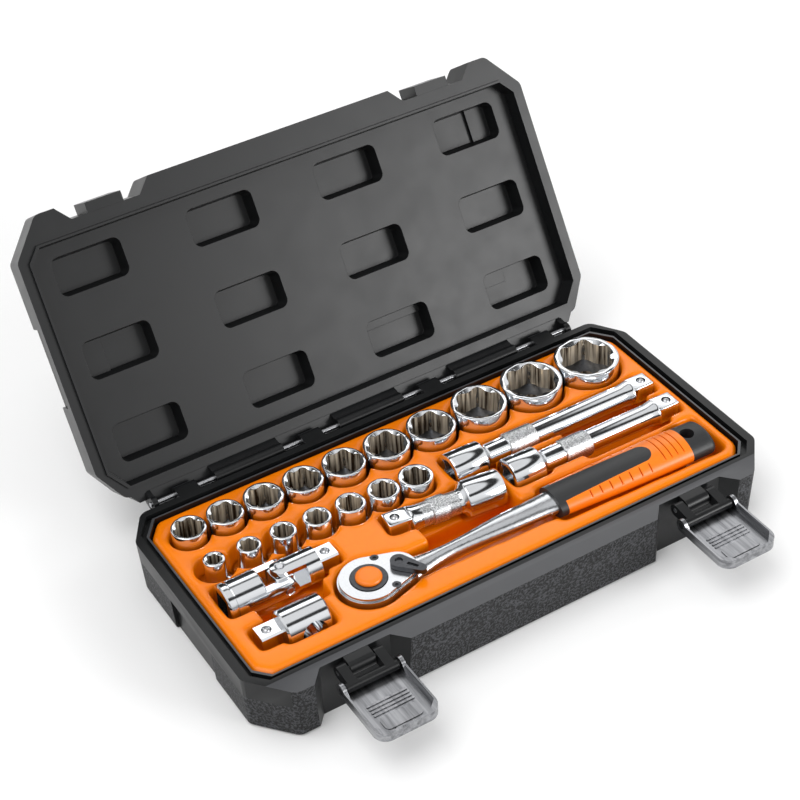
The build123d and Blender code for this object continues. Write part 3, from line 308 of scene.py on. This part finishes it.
# soft black elastomer, matte, with a fine moulded tooth
gripBlack = newFinish("mouldedElastomer", {
    "size": 0.7, "detail": 3.0, "shades": ((0.0, "#18191A"), (1.0, "#262729")), "lift": (0.3, 0.06),
    "roughness": 0.46})

# orange polypropylene of the grip and the button, satin
gripOrange = newFinish("orangePolypropylene", {
    "size": 6.0, "detail": 3.0, "shades": ((0.0, "#EB7203"), (1.0, "#F37E06")), "roughness": 0.36})
print("materials made")

# Case

caseSettings = {
    "half": 181.0, "front": 91.5, "back": 89.0, "edge": 0.55,
    # grain on the upright walls below these heights, away from the latches and the end recesses
    "frontBand": 37.3, "sideBand": 24.0, "level": 0.6, "wall": 6.0, "corner": 24.0, "outerShare": 0.9,
    "recessDepth": 8.0, "recessHalf": 26.0, "latchAt": 117.4, "latchHalf": 31.0,
    # the painted highlight on the rim in front of this line, and on the lip between these heights
    "browEdge": 77.5, "browTilt": 0.3, "lip": (36.5, 37.2),
    "lidTurn": 122.0, "lidTop": 60.0}


def grained(x, y, z, normal):
    given = caseSettings
    if abs(normal.z) > given["level"] or z > given["frontBand"]:
        return False
    if abs(x) > given["half"] - given["recessDepth"] and abs(y) < given["recessHalf"]:
        return False
    if y < -given["front"] + given["wall"]:
        return abs(abs(x) - given["latchAt"]) > given["latchHalf"]
    outer = abs(x) > given["half"] - given["corner"] or y > given["back"] - given["wall"]
    reach = max(abs(x) / given["half"], abs(y) / given["back"])
    return outer and z < given["sideBand"] and reach > given["outerShare"]


# faces that take the painted highlight: the tops of the front rim and of the lip
def browHighlighted(y, z, normal):
    given = caseSettings
    front = y < -given["browEdge"] and z > given["frontBand"]
    lipLow, lipHigh = given["lip"]
    return normal.z > given["browTilt"] and (front or lipLow < z < lipHigh)


caseBase = softCopy("caseBase", "base_shell", caseSettings["edge"])
splitAt(caseBase, (0, 0, caseSettings["sideBand"]), (0, 0, 1))
splitAt(caseBase, (0, -caseSettings["browEdge"], 0), (0, 1, 0))
finished(caseBase, "case_base", [caseSatin, caseGrain, caseBrowHighlight], "base_shell")
# grained walls take the grain; the front rim and the lip take the painted highlight
for face in caseBase.data.polygons:
    x, y, z = face.center / mm
    if grained(x, y, z, face.normal):
        face.material_index = 1
    elif browHighlighted(y, z, face.normal):
        face.material_index = 2
print("case base done")

# the lid's grained top is found with the lid turned shut
lidHinge = middleOf("hinge_pin") * mm
lidTurn = Matrix.Rotation(radians(caseSettings["lidTurn"]), 4, "X")
lidShut = Matrix.Translation(lidHinge) @ lidTurn @ Matrix.Translation(-lidHinge)
caseLid = softCopy("caseLid", "lid_shell", caseSettings["edge"])
finished(caseLid, "lid", [caseSatin, caseGrain], "lid_shell")
for face in caseLid.data.polygons:
    high = (lidShut @ face.center).z > caseSettings["lidTop"] * mm
    if high and (lidTurn.to_3x3() @ face.normal).z > caseSettings["level"]:
        face.material_index = 1
dressCopies(("lidPanel", "lid_panel", "lid", caseSatin, 1.4, 3))
print("case lid done")

dressCopies(
    ("hingeRod", "hinge_pin", "case_base", rodSteel, 0.3),
    ("latchTongues", "latch_tongues", "case_base", caseSatin, 0.5),
    ("latchPins", "latch_barrel_pins", "case_base", rodSteel, 0.25))
for side in ("left", "right"):
    link = "latch_link_" + side
    lever = "latch_lever_" + side
    dressCopies(
        ("latchLink" + side.title(), link, link, caseSatin, 0.5),
        ("latchLever" + side.title(), lever, lever, leverSteel, 0.45, 3))
print("latches done")

# Where the long tools lie: start, turn in degrees and, along a bar, its length, cup and knurl

toolAxis = 33.0
longTools = {
    "ratchet": {"at": (-81.9, -38.2), "turn": -1.6},
    "extension_long": {
        "at": (10.0, 19.5), "turn": -0.4, "length": 153.0, "cup": 24.0, "knurl": (42.0, 63.0)},
    "extension_medium": {
        "at": (37.1, -5.0), "turn": -0.7, "length": 127.0, "cup": 22.5, "knurl": (40.0, 60.0)},
    "extension_short": {
        "at": (28.5, -9.4), "turn": 174.3, "length": 77.2, "cup": 25.5, "knurl": (37.0, 48.0)}}
barNodes = [name for name in longTools if name.startswith("extension_")]
socketNodes = sorted(name for name in nodes if name.startswith("socket_"))


def onTool(tool, along):
    x, y = longTools[tool]["at"]
    turn = radians(longTools[tool]["turn"])
    return x + along * cos(turn), y + along * sin(turn), 0


# Tool tray: a block with drafted wells, softened like formed sheet

traySettings = {
    # the blank: underside clear of the case, corners cut off across and along, top edge rounded
    "lift": 0.1, "backCorner": (10.0, 13.0), "frontCorner": (8.0, 9.0),
    "round": 3.2, "roundSteps": 5, "near": 0.1,
    # round wells of the sockets: floor, room round the socket, and how far the wall leans
    "floor": 4.3, "play": 1.1, "draft": 0.7, "sides": 72, "over": 1.0,
    # troughs have a wide and a slim run, each with its half width and floor
    "troughDraft": 0.4,
    "bar": {"wide": (12.75, 20.9), "slim": (9.7, 24.0), "play": 1.2, "pastCup": 2.5},
    "joint": {"wide": (14.5, 20.0), "slim": (9.55, 23.4), "left": 2.0, "wideEnd": 11.2, "slimStart": 22.0,
              "right": 1.8},
    "head": {"wide": (13.5, 20.4), "slim": (9.55, 23.4), "left": 2.0, "slimEnd": 14.5, "wideStart": 13.0,
             "right": 2.4},
    # the ratchet's well narrows in steps from head to neck, with a deep hole for the drive square
    "ratchet": {"head": 20.3, "throat": 14.6, "steps": 4, "draft": 0.3, "square": (10.6, 5.2),
                "neck": (11.2, 22.0), "grip": (16.0, 26.8),
                "neckStart": 18.5, "gripStart": 124.5, "end": 242.2},
    # finger recesses: left end, right end, middle line, half width, floor
    "recesses": [(-146.1, -104.1, -22.5, 10.0, 11.0), (88.0, 152.2, 3.25, 24.5, 11.0),
                 (-33.0, 30.0, -24.7, 11.5, 11.0), (140.0, 163.4, -43.0, 17.2, 15.0)],
    "voxel": 1.0, "easing": 0.5, "passes": 55, "kept": 0.3, "shade": 60}
trayLow, trayHigh = (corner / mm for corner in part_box("tool_tray"))
wellTop = trayHigh.z + traySettings["over"]


def roundWell(at, radius, floor, draft):
    well = turned("well", [(floor, radius - draft), (wellTop, radius + draft)], traySettings["sides"])
    return placed(well, (at[0], at[1], 0))


def trough(at, turn, start, end, half, floor):
    well = block("well", (start, -half, floor), (end, half, wellTop), traySettings["troughDraft"])
    return placed(well, (at[0], at[1], 0), (0, 0, turn))


def trayBlank():
    given = traySettings
    piece = block("toolTray", (trayLow.x, trayLow.y, trayLow.z + given["lift"]), trayHigh)
    corners = ((trayHigh.y, 1, given["backCorner"]), (trayLow.y, -1, given["frontCorner"]))
    for side in (-1, 1):
        for y, facing, (across, along) in corners:
            outward = Vector((side * along, facing * across, 0)).normalized()
            splitAt(piece, (side * (trayHigh.x - across), y, 0), outward, use_fill=True, clear_outer=True)
    openMesh(piece, "EDGE", "DESELECT")
    closeMesh()
    for edge in piece.data.edges:
        heights = [piece.data.vertices[index].co.z / mm for index in edge.vertices]
        edge.select = min(heights) > trayHigh.z - given["near"]
    bpy.ops.object.mode_set(mode="EDIT")
    bpy.ops.mesh.bevel(offset=given["round"] * mm, segments=given["roundSteps"], affect="EDGES")
    closeMesh()
    return piece


def socketWells():
    for node in socketNodes:
        low, high = (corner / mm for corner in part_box(node))
        radius = (high.x - low.x) / 2 + traySettings["play"]
        yield roundWell(middleOf(node), radius, traySettings["floor"], traySettings["draft"])


def ratchetWells():
    given = traySettings["ratchet"]
    at = longTools["ratchet"]["at"]
    turn = longTools["ratchet"]["turn"]
    for step in range(given["steps"] + 1):
        share = step / given["steps"]
        radius = given["head"] + (given["throat"] - given["head"]) * share
        along = given["neckStart"] * share
        yield roundWell(onTool("ratchet", along), radius, given["neck"][1], given["draft"])
    yield roundWell(at, *given["square"], given["draft"])
    yield trough(at, turn, given["neckStart"], given["gripStart"], *given["neck"])
    yield trough(at, turn, given["gripStart"], given["end"], *given["grip"])


def barTroughs():
    given = traySettings["bar"]
    for tool in (longTools[node] for node in barNodes):
        step = tool["cup"] + given["pastCup"]
        yield trough(tool["at"], tool["turn"], -given["play"], step, *given["wide"])
        yield trough(tool["at"], tool["turn"], step, tool["length"] + given["play"], *given["slim"])


def jointTroughs():
    given = traySettings["joint"]
    line = (0, middleOf("uj_long_pin").y)
    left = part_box("uj_socket_yoke")[0].x / mm
    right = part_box("uj_drive_yoke")[1].x / mm
    yield trough(line, 0, left - given["left"], right - given["wideEnd"], *given["wide"])
    yield trough(line, 0, right - given["slimStart"], right + given["right"], *given["slim"])


def headTroughs():
    given = traySettings["head"]
    line = (0, middleOf("t_head").y)
    left, right = (corner.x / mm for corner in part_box("t_head"))
    yield trough(line, 0, left + given["wideStart"], right + given["right"], *given["wide"])
    yield trough(line, 0, left - given["left"], left + given["slimEnd"], *given["slim"])


def fingerRecesses():
    for left, right, y, half, floor in traySettings["recesses"]:
        yield trough((0, y), 0, left, right, half, floor)


toolTray = trayBlank()
for wells in (socketWells, ratchetWells, barTroughs, jointTroughs, headTroughs, fingerRecesses):
    cutAway(toolTray, list(wells()))
modify(toolTray, "REMESH", mode="VOXEL", voxel_size=traySettings["voxel"] * mm)
modify(toolTray, "SMOOTH", factor=traySettings["easing"], iterations=traySettings["passes"])
modify(toolTray, "DECIMATE", decimate_type="COLLAPSE", ratio=traySettings["kept"])
smooth(toolTray, traySettings["shade"])
finished(toolTray, "case_base", trayOrange, "tool_tray", "tray_supports")
print("tray done", len(toolTray.data.polygons))

# Sockets: rim and foot are read from each node, and the broach is a hexagon with rounded lobes

socketSettings = {
    "read": 3.0, "edge": 0.7, "edgeRound": 0.3, "shoulder": 0.5, "sides": 96, "over": 1.0,
    "hexDepth": 0.42, "lobes": 6, "lobeMean": 1.056, "lobeSwing": 0.088,
    "leadShare": 1.13, "leadMore": 0.5, "leadSlope": 0.55, "rimWall": 0.55,
    "square": 12.95, "squareDepth": 15.0, "boreShare": 0.9, "boreSides": 48,
    "bevel": 0.18, "bevelSteps": 2, "sharper": 38, "shade": 30,
    # what counts as the inside, which takes the painted reflections, and as a level floor, which takes the
    # painted shade
    "inside": 1.14, "core": 0.9, "mouthBand": 0.2, "level": 0.7}


def widest(node, middle, low, high):
    corners = [vertex.co / mm for vertex in nodes[node].data.vertices]
    return max((corner - middle).to_2d().length for corner in corners if low < corner.z < high)


def lobed(piece, flat):
    given = socketSettings
    for vertex in piece.data.vertices:
        angle = atan2(vertex.co.y, vertex.co.x)
        radius = flat * (given["lobeMean"] + given["lobeSwing"] * cos(given["lobes"] * angle)) * mm
        vertex.co.x = radius * cos(angle)
        vertex.co.y = radius * sin(angle)


def makeSocket(node):
    given = socketSettings
    size = int(node[-2:])
    low, high = (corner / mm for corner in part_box(node))
    middle = middleOf(node)
    tall = high.z - low.z
    rim = widest(node, middle, high.z - given["read"], high.z)
    foot = widest(node, middle, low.z, low.z + given["read"])
    waist = tall * given["shoulder"]
    edge = given["edge"]
    near = edge * given["edgeRound"]
    piece = turned("chromeSocket%02d" % size, [
        (0, foot - edge), (near, foot - near), (edge, foot), (waist, foot), (waist + abs(rim - foot), rim),
        (tall - edge, rim), (tall - near, rim - near), (tall, rim - edge)], given["sides"])
    flat = size / 2
    over = given["over"]
    broach = turned("broach", [(tall * (1 - given["hexDepth"]), flat), (tall + over, flat)], given["sides"])
    lobed(broach, flat)
    lead = min(flat * given["leadShare"] + given["leadMore"], rim - given["rimWall"])
    fall = (lead - flat) * given["leadSlope"]
    rise = over * given["leadSlope"]
    mouth = turned("mouth", [(tall - fall, flat), (tall + rise, lead + over)], given["sides"])
    square = given["square"] / 2
    through = min(flat, square) * given["boreShare"]
    bore = turned("bore", [(-over, through), (tall, through)], given["boreSides"])
    drive = block("drive", (-square, -square, -over), (square, square, given["squareDepth"]))
    cutAway(piece, [broach, mouth, bore, drive])
    bevelled(piece, given["bevel"], given["bevelSteps"], given["sharper"])
    smooth(piece, given["shade"])
    placed(piece, (middle.x, middle.y, low.z))
    finished(piece, node, [chromePlate, boreSteelReflections, blackSteelAndFloorShade], node)
    # the walls inside take the painted reflections, and the level floors the dark finish as painted shade
    for face in piece.data.polygons:
        out = face.center / mm - middle
        out.z = 0
        level = face.normal.z > given["level"]
        below = face.center.z / mm < high.z - fall - given["mouthBand"]
        inward = level or face.normal.dot(out) < 0 or out.length < flat * given["core"]
        if below and inward and out.length < flat * given["inside"]:
            face.material_index = 2 if level else 1


for node in socketNodes:
    makeSocket(node)
print("sockets done")

# Extension bars

barSettings = {
    "cup": 23.5, "bar": 15.0, "collar": 17.0, "sides": 80,
    "bevel": 0.15, "bevelSteps": 2, "sharper": 40, "shade": 32,
    "hollow": 12.95, "hollowDepth": 15.0, "leadIn": [(-0.2, 8.6), (1.6, 6.4)], "leadSides": 64, "over": 1.0,
    "square": 12.7, "squareLength": 14.5, "squareBevel": 0.9, "squareSteps": 3, "squareShade": 30,
    "ballHole": 3.1, "ballBack": 6.0, "ballReach": 20.0, "ballSides": 40, "ballShade": 60,
    # the knurl is drawn coarser than life so that it shows; it fades in over its ends
    "teeth": 36, "perTooth": 4, "toothRise": 0.55, "toothFade": 0.6, "knurlShade": 70}


def knurledBand(radius, start, end):
    teeth = barSettings["teeth"]
    rise = barSettings["toothRise"]
    fade = barSettings["toothFade"]
    sides = teeth * barSettings["perTooth"]
    rows = int((end - start) / (2 * pi * radius / sides))
    steps = [(start + (end - start) * row / rows, radius - rise) for row in range(rows + 1)]
    piece = turned("band", steps, sides)
    for vertex in piece.data.vertices:
        out = Vector((vertex.co.x, vertex.co.y, 0))
        height = vertex.co.z / mm
        angle = atan2(out.y, out.x)
        climb = (height - start) / radius
        wave = 0.5 + 0.25 * (cos(teeth * (angle + climb)) + cos(teeth * (angle - climb)))
        share = min(height - start, end - height, fade) / fade
        vertex.co += out.normalized() * rise * mm * max(0.0, wave) * max(0.0, share)
    smooth(piece, barSettings["knurlShade"])
    return piece


def makeBar(node, name):
    given = barSettings
    tool = longTools[node]
    length = tool["length"]
    cup = tool["cup"]
    wide, thin, collar = given["cup"] / 2, given["bar"] / 2, given["collar"] / 2
    end = length - given["squareLength"]
    over = given["over"]
    # the cup's rounded rim, its fall to the bar, and the collar before the square
    bar = turned("bar", [
        (0, wide - 1.0), (0.3, wide - 0.4), (1.0, wide),
        (cup - 1.2, wide), (cup - 0.5, wide - 0.25), (cup, wide - 0.8),
        (cup + 1.6, thin + 1.0), (cup + 2.6, thin + 0.35), (cup + 4.0, thin),
        (end - 8.0, thin), (end - 4.5, thin + 0.5), (end - 2.2, collar - 0.15),
        (end - 1.6, collar), (end - 0.5, collar - 0.1), (end, collar - 0.7)], given["sides"])
    half = given["hollow"] / 2
    hollow = block("hollow", (-half, -half, -over), (half, half, given["hollowDepth"]))
    cutAway(bar, [hollow, turned("leadIn", given["leadIn"], given["leadSides"])])
    bevelled(bar, given["bevel"], given["bevelSteps"], given["sharper"])
    smooth(bar, given["shade"])
    half = given["square"] / 2
    male = block("male", (-half, -half, end - over), (half, half, length))
    bevelled(male, given["squareBevel"], given["squareSteps"], given["sharper"])
    hole = given["ballHole"]
    ballHole = turned("ballHole", [(0, hole), (given["ballReach"], hole)], given["ballSides"])
    cutAway(male, [placed(ballHole, (0, 0, length - given["ballBack"]), (0, 90, 0))])
    smooth(male, given["squareShade"])
    start, stop = tool["knurl"]
    piece = joined([bar, male, knurledBand(collar, start, stop)], name)
    turn = radians(tool["turn"])
    lying = Matrix.Rotation(turn, 3, "Z") @ Matrix.Rotation(pi / 2, 3, "Y") @ Matrix.Rotation(pi, 3, "Z")
    piece.rotation_euler = lying.to_euler()
    piece.location = Vector((*tool["at"], toolAxis)) * mm
    settle(piece, name)
    finished(piece, node, [chromePlate, knurlPlate], node)
    out = Vector((cos(turn), sin(turn), 0))
    for face in piece.data.polygons:
        along = (face.center / mm - Vector((*tool["at"], 0))).dot(out)
        if start < along < stop:
            face.material_index = 1


for node in barNodes:
    kind = node.split("_")[1]
    makeBar(node, "extension" + kind.title())
    ball = softCopy(kind + "DetentBall", node + "_ball", 0, shade=barSettings["ballShade"])
    finished(ball, node + "_ball", rodSteel, node + "_ball")
print("bars done")

# Universal joint and sliding head: dished round the pin heads, the ball seats and the cross bore

dishSettings = {
    "sides": 48, "edge": 0.4, "boreBack": 11.93,
    # floor and mouth of each dish as (height, radius); the long pin's and the bore's count from the axis
    "ballSeat": [(38.2, 3.05), (41.0, 3.3)], "shortPin": [(42.6, 2.2), (44.6, 3.9)],
    "longPin": [(11.2, 2.4), (13.2, 4.1)], "bore": [(8.6, 5.6), (12.8, 8.6)]}


def dishUp(at, kind):
    dish = turned("dish", dishSettings[kind], dishSettings["sides"])
    return placed(dish, (at.x, at.y, 0))


def dishFront(at, kind):
    dish = turned("dish", dishSettings[kind], dishSettings["sides"])
    return placed(dish, (at.x, at.y, toolAxis), (90, 0, 0))


jointMiddle = middleOf("uj_long_pin")
boreMiddle = Vector((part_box("t_head")[1].x / mm - dishSettings["boreBack"], middleOf("t_head").y))
socketYoke = softCopy("jointSocketYoke", "uj_socket_yoke", dishSettings["edge"], cutters=[
    dishFront(jointMiddle, "longPin")])
finished(socketYoke, "uj_socket", chromePlate, "uj_socket_yoke")
driveYoke = softCopy("jointDriveYoke", "uj_drive_yoke", dishSettings["edge"], cutters=[
    dishUp(jointMiddle, "shortPin"), dishUp(middleOf("uj_detent_ball"), "ballSeat")])
finished(driveYoke, "uj_drive", chromePlate, "uj_drive_yoke")
slidingHead = softCopy("slidingHead", "t_head", dishSettings["edge"], cutters=[
    dishUp(middleOf("t_head_ball"), "ballSeat"), dishFront(boreMiddle, "bore")])
finished(slidingHead, "t_head", chromePlate, "t_head")
dressCopies(
    ("jointCross", "uj_cross_block", "uj_cross", chromePlate, 0.4),
    ("jointLongPin", "uj_long_pin", "uj_socket", rodSteel, 0.3),
    ("jointShortPins", "uj_short_pins", "uj_cross", rodSteel, 0.3),
    ("jointBall", "uj_detent_ball", "uj_ball", rodSteel, 0),
    ("slidingHeadBall", "t_head_ball", "t_head_ball", rodSteel, 0))
print("joint and sliding head done")

# Ratchet

dressCopies(
    ("ratchetForging", "ratchet_body", "ratchet", satinPlate, 0.9),
    ("ratchetCover", "ratchet_cover_plate", "ratchet", satinPlate, 0.5),
    ("ratchetScrews", "ratchet_cover_screws", "ratchet", blackSteelAndFloorShade, 0.2),
    ("driveGear", "drive_gear", "drive_gear", blackSteelAndFloorShade, 0.15),
    ("pawl", "ratchet_pawl", "ratchet_pawl", rodSteel, 0.1),
    ("releaseButton", "release_button", "release_button", gripOrange, 0.4),
    ("buttonSpring", "button_spring", "drive_gear", rodSteel, 0.1),
    ("driveBall", "drive_ball", "drive_ball", rodSteel, 0))

# the change lever has a dished pivot and a sunk slot along its arm
changeSettings = {"along": 20.2, "turn": -56.8, "edge": 0.4, "sink": 1.1, "over": 1.0,
                  "dish": 2.1, "dishLean": 0.5, "dishSides": 40, "slot": (5.6, 12.6), "slotHalf": 1.0}


def changeCutters():
    given = changeSettings
    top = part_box("reverse_lever")[1].z / mm
    low, high = top - given["sink"], top + given["over"]
    start, end = given["slot"]
    half = given["slotHalf"]
    radius = given["dish"]
    dish = turned("dish", [(low, radius), (high, radius + given["dishLean"])], given["dishSides"])
    slot = block("slot", (start, -half, low), (end, half, high))
    pivot = onTool("ratchet", given["along"])
    return [placed(cutter, pivot, (0, 0, given["turn"])) for cutter in (dish, slot)]


changeLever = softCopy("changeLever", "reverse_lever", changeSettings["edge"], cutters=changeCutters())
finished(changeLever, "reverse_lever", blackSteelAndFloorShade, "reverse_lever")

# the black core with its wide hanging eye
coreSettings = {"along": 226.5, "eye": 4.6, "low": 20.0, "high": 60.0, "sides": 48, "edge": 0.6}
eye = turned("eye", [(coreSettings["low"], coreSettings["eye"]), (coreSettings["high"], coreSettings["eye"])],
             coreSettings["sides"])
gripCore = softCopy("gripCore", "grip_core", coreSettings["edge"], cutters=[
    placed(eye, onTool("ratchet", coreSettings["along"]))])
finished(gripCore, "ratchet", gripBlack, "grip_core")

# the orange sleeve has short notches along both flanks and four lines across its end
gripSettings = {
    "wide": 0.9, "top": 50.0, "bevel": 0.3, "bevelSteps": 2, "sharper": 40, "shade": 40,
    "notches": 7, "notchStart": 148.0, "notchPitch": 7.2,
    "notchInner": 8.6, "notchOuter": 13.6, "notchLow": 39.0,
    "lines": 4, "lineStart": 203.0, "linePitch": 4.6, "lineHalf": 11.5, "lineLow": 41.4}


def gripCut(along, right, left, low):
    half = gripSettings["wide"] / 2
    cut = block("gripCut", (along - half, right, low), (along + half, left, gripSettings["top"]))
    return placed(cut, onTool("ratchet", 0), (0, 0, longTools["ratchet"]["turn"]))


def gripCuts():
    given = gripSettings
    for count in range(given["notches"]):
        along = given["notchStart"] + given["notchPitch"] * count
        for side in (-1, 1):
            yield gripCut(along, side * given["notchInner"], side * given["notchOuter"], given["notchLow"])
    for count in range(given["lines"]):
        along = given["lineStart"] + given["linePitch"] * count
        yield gripCut(along, -given["lineHalf"], given["lineHalf"], given["lineLow"])


gripSleeve = softCopy("gripSleeve", "grip_panels", 0)
cutAway(gripSleeve, list(gripCuts()))
bevelled(gripSleeve, gripSettings["bevel"], gripSettings["bevelSteps"], gripSettings["sharper"])
smooth(gripSleeve, gripSettings["shade"])
finished(gripSleeve, "ratchet", gripOrange, "grip_panels")
print("ratchet done")

# Floor, light and camera

stageSettings = {
    "paper": {"colour": "#F4F4F4", "roughness": 0.9}, "paperSize": 60, "paperDrop": 0.2,
    # pale studio walls with a dark gap, which draws the dark lines along bright round metal
    "sky": [(0.0, 0.12), (1.0, 0.9), (0.1, 0.25), (0.3, 0.95), (0.71, 1.12), (0.74, 0.03), (0.87, 0.03),
            (0.9, 1.0)],
    # softboxes: place and aim in metres, width and height, power
    "softboxes": [("keySoftbox", (-0.9, 0.0, 1.9), (0, 0, 0), (1.8, 1.4), 19),
                  ("frontSoftbox", (1.35, -1.75, 0.85), (0.1, 0.1, 0.1), (1.0, 0.8), 30),
                  ("backSoftbox", (0.9, 1.5, 1.65), (0, 0, 0.05), (1.5, 1.1), 6)],
    "eye": (-0.46242, -0.75257, 0.82653), "turn": (50.9067, 2.5132, -31.7697), "lens": 87.572, "sensor": 36,
    "clip": 0.05}

bpy.ops.object.select_all(action="DESELECT")
bpy.ops.mesh.primitive_plane_add(size=stageSettings["paperSize"],
                                 location=(0, 0, -stageSettings["paperDrop"] * mm))
floor = settle(bpy.context.active_object, "studioFloor")
floor.data.materials.append(newFinish("matteStudioPaper", stageSettings["paper"]))

world = bpy.data.worlds.new("softStudio")
bpy.context.scene.world = world
world.use_nodes = True
place = addNode(world.node_tree, "ShaderNodeTexCoord")
height = addNode(world.node_tree, "ShaderNodeSeparateXYZ", None, {"Vector": (place, "Generated")})
fade = addNode(world.node_tree, "ShaderNodeValToRGB", None, {"Fac": (height, "Z")})
stops = fade.color_ramp.elements
for count, (at, level) in enumerate(stageSettings["sky"]):
    stop = stops[count] if count < 2 else stops.new(at)  # a ramp starts with two stops
    stop.position = at
    stop.color = (level, level, level, 1)
world.node_tree.links.new(fade.outputs["Color"], world.node_tree.nodes["Background"].inputs["Color"])

for name, at, aim, size, power in stageSettings["softboxes"]:
    bpy.ops.object.light_add(type="AREA", location=at)
    lamp = bpy.context.active_object
    lamp.name = name
    lamp.data.shape = "RECTANGLE"
    lamp.data.size, lamp.data.size_y = size
    lamp.data.energy = power
    lamp.rotation_euler = (Vector(aim) - Vector(at)).to_track_quat("-Z", "Y").to_euler()

bpy.ops.object.camera_add(location=stageSettings["eye"],
                          rotation=[radians(value) for value in stageSettings["turn"]])
camera = bpy.context.active_object
camera.data.lens = stageSettings["lens"]
camera.data.sensor_width = stageSettings["sensor"]
camera.data.clip_start = stageSettings["clip"]
bpy.context.scene.camera = camera
bpy.context.scene.view_settings.view_transform = "Standard"
print("stage set")
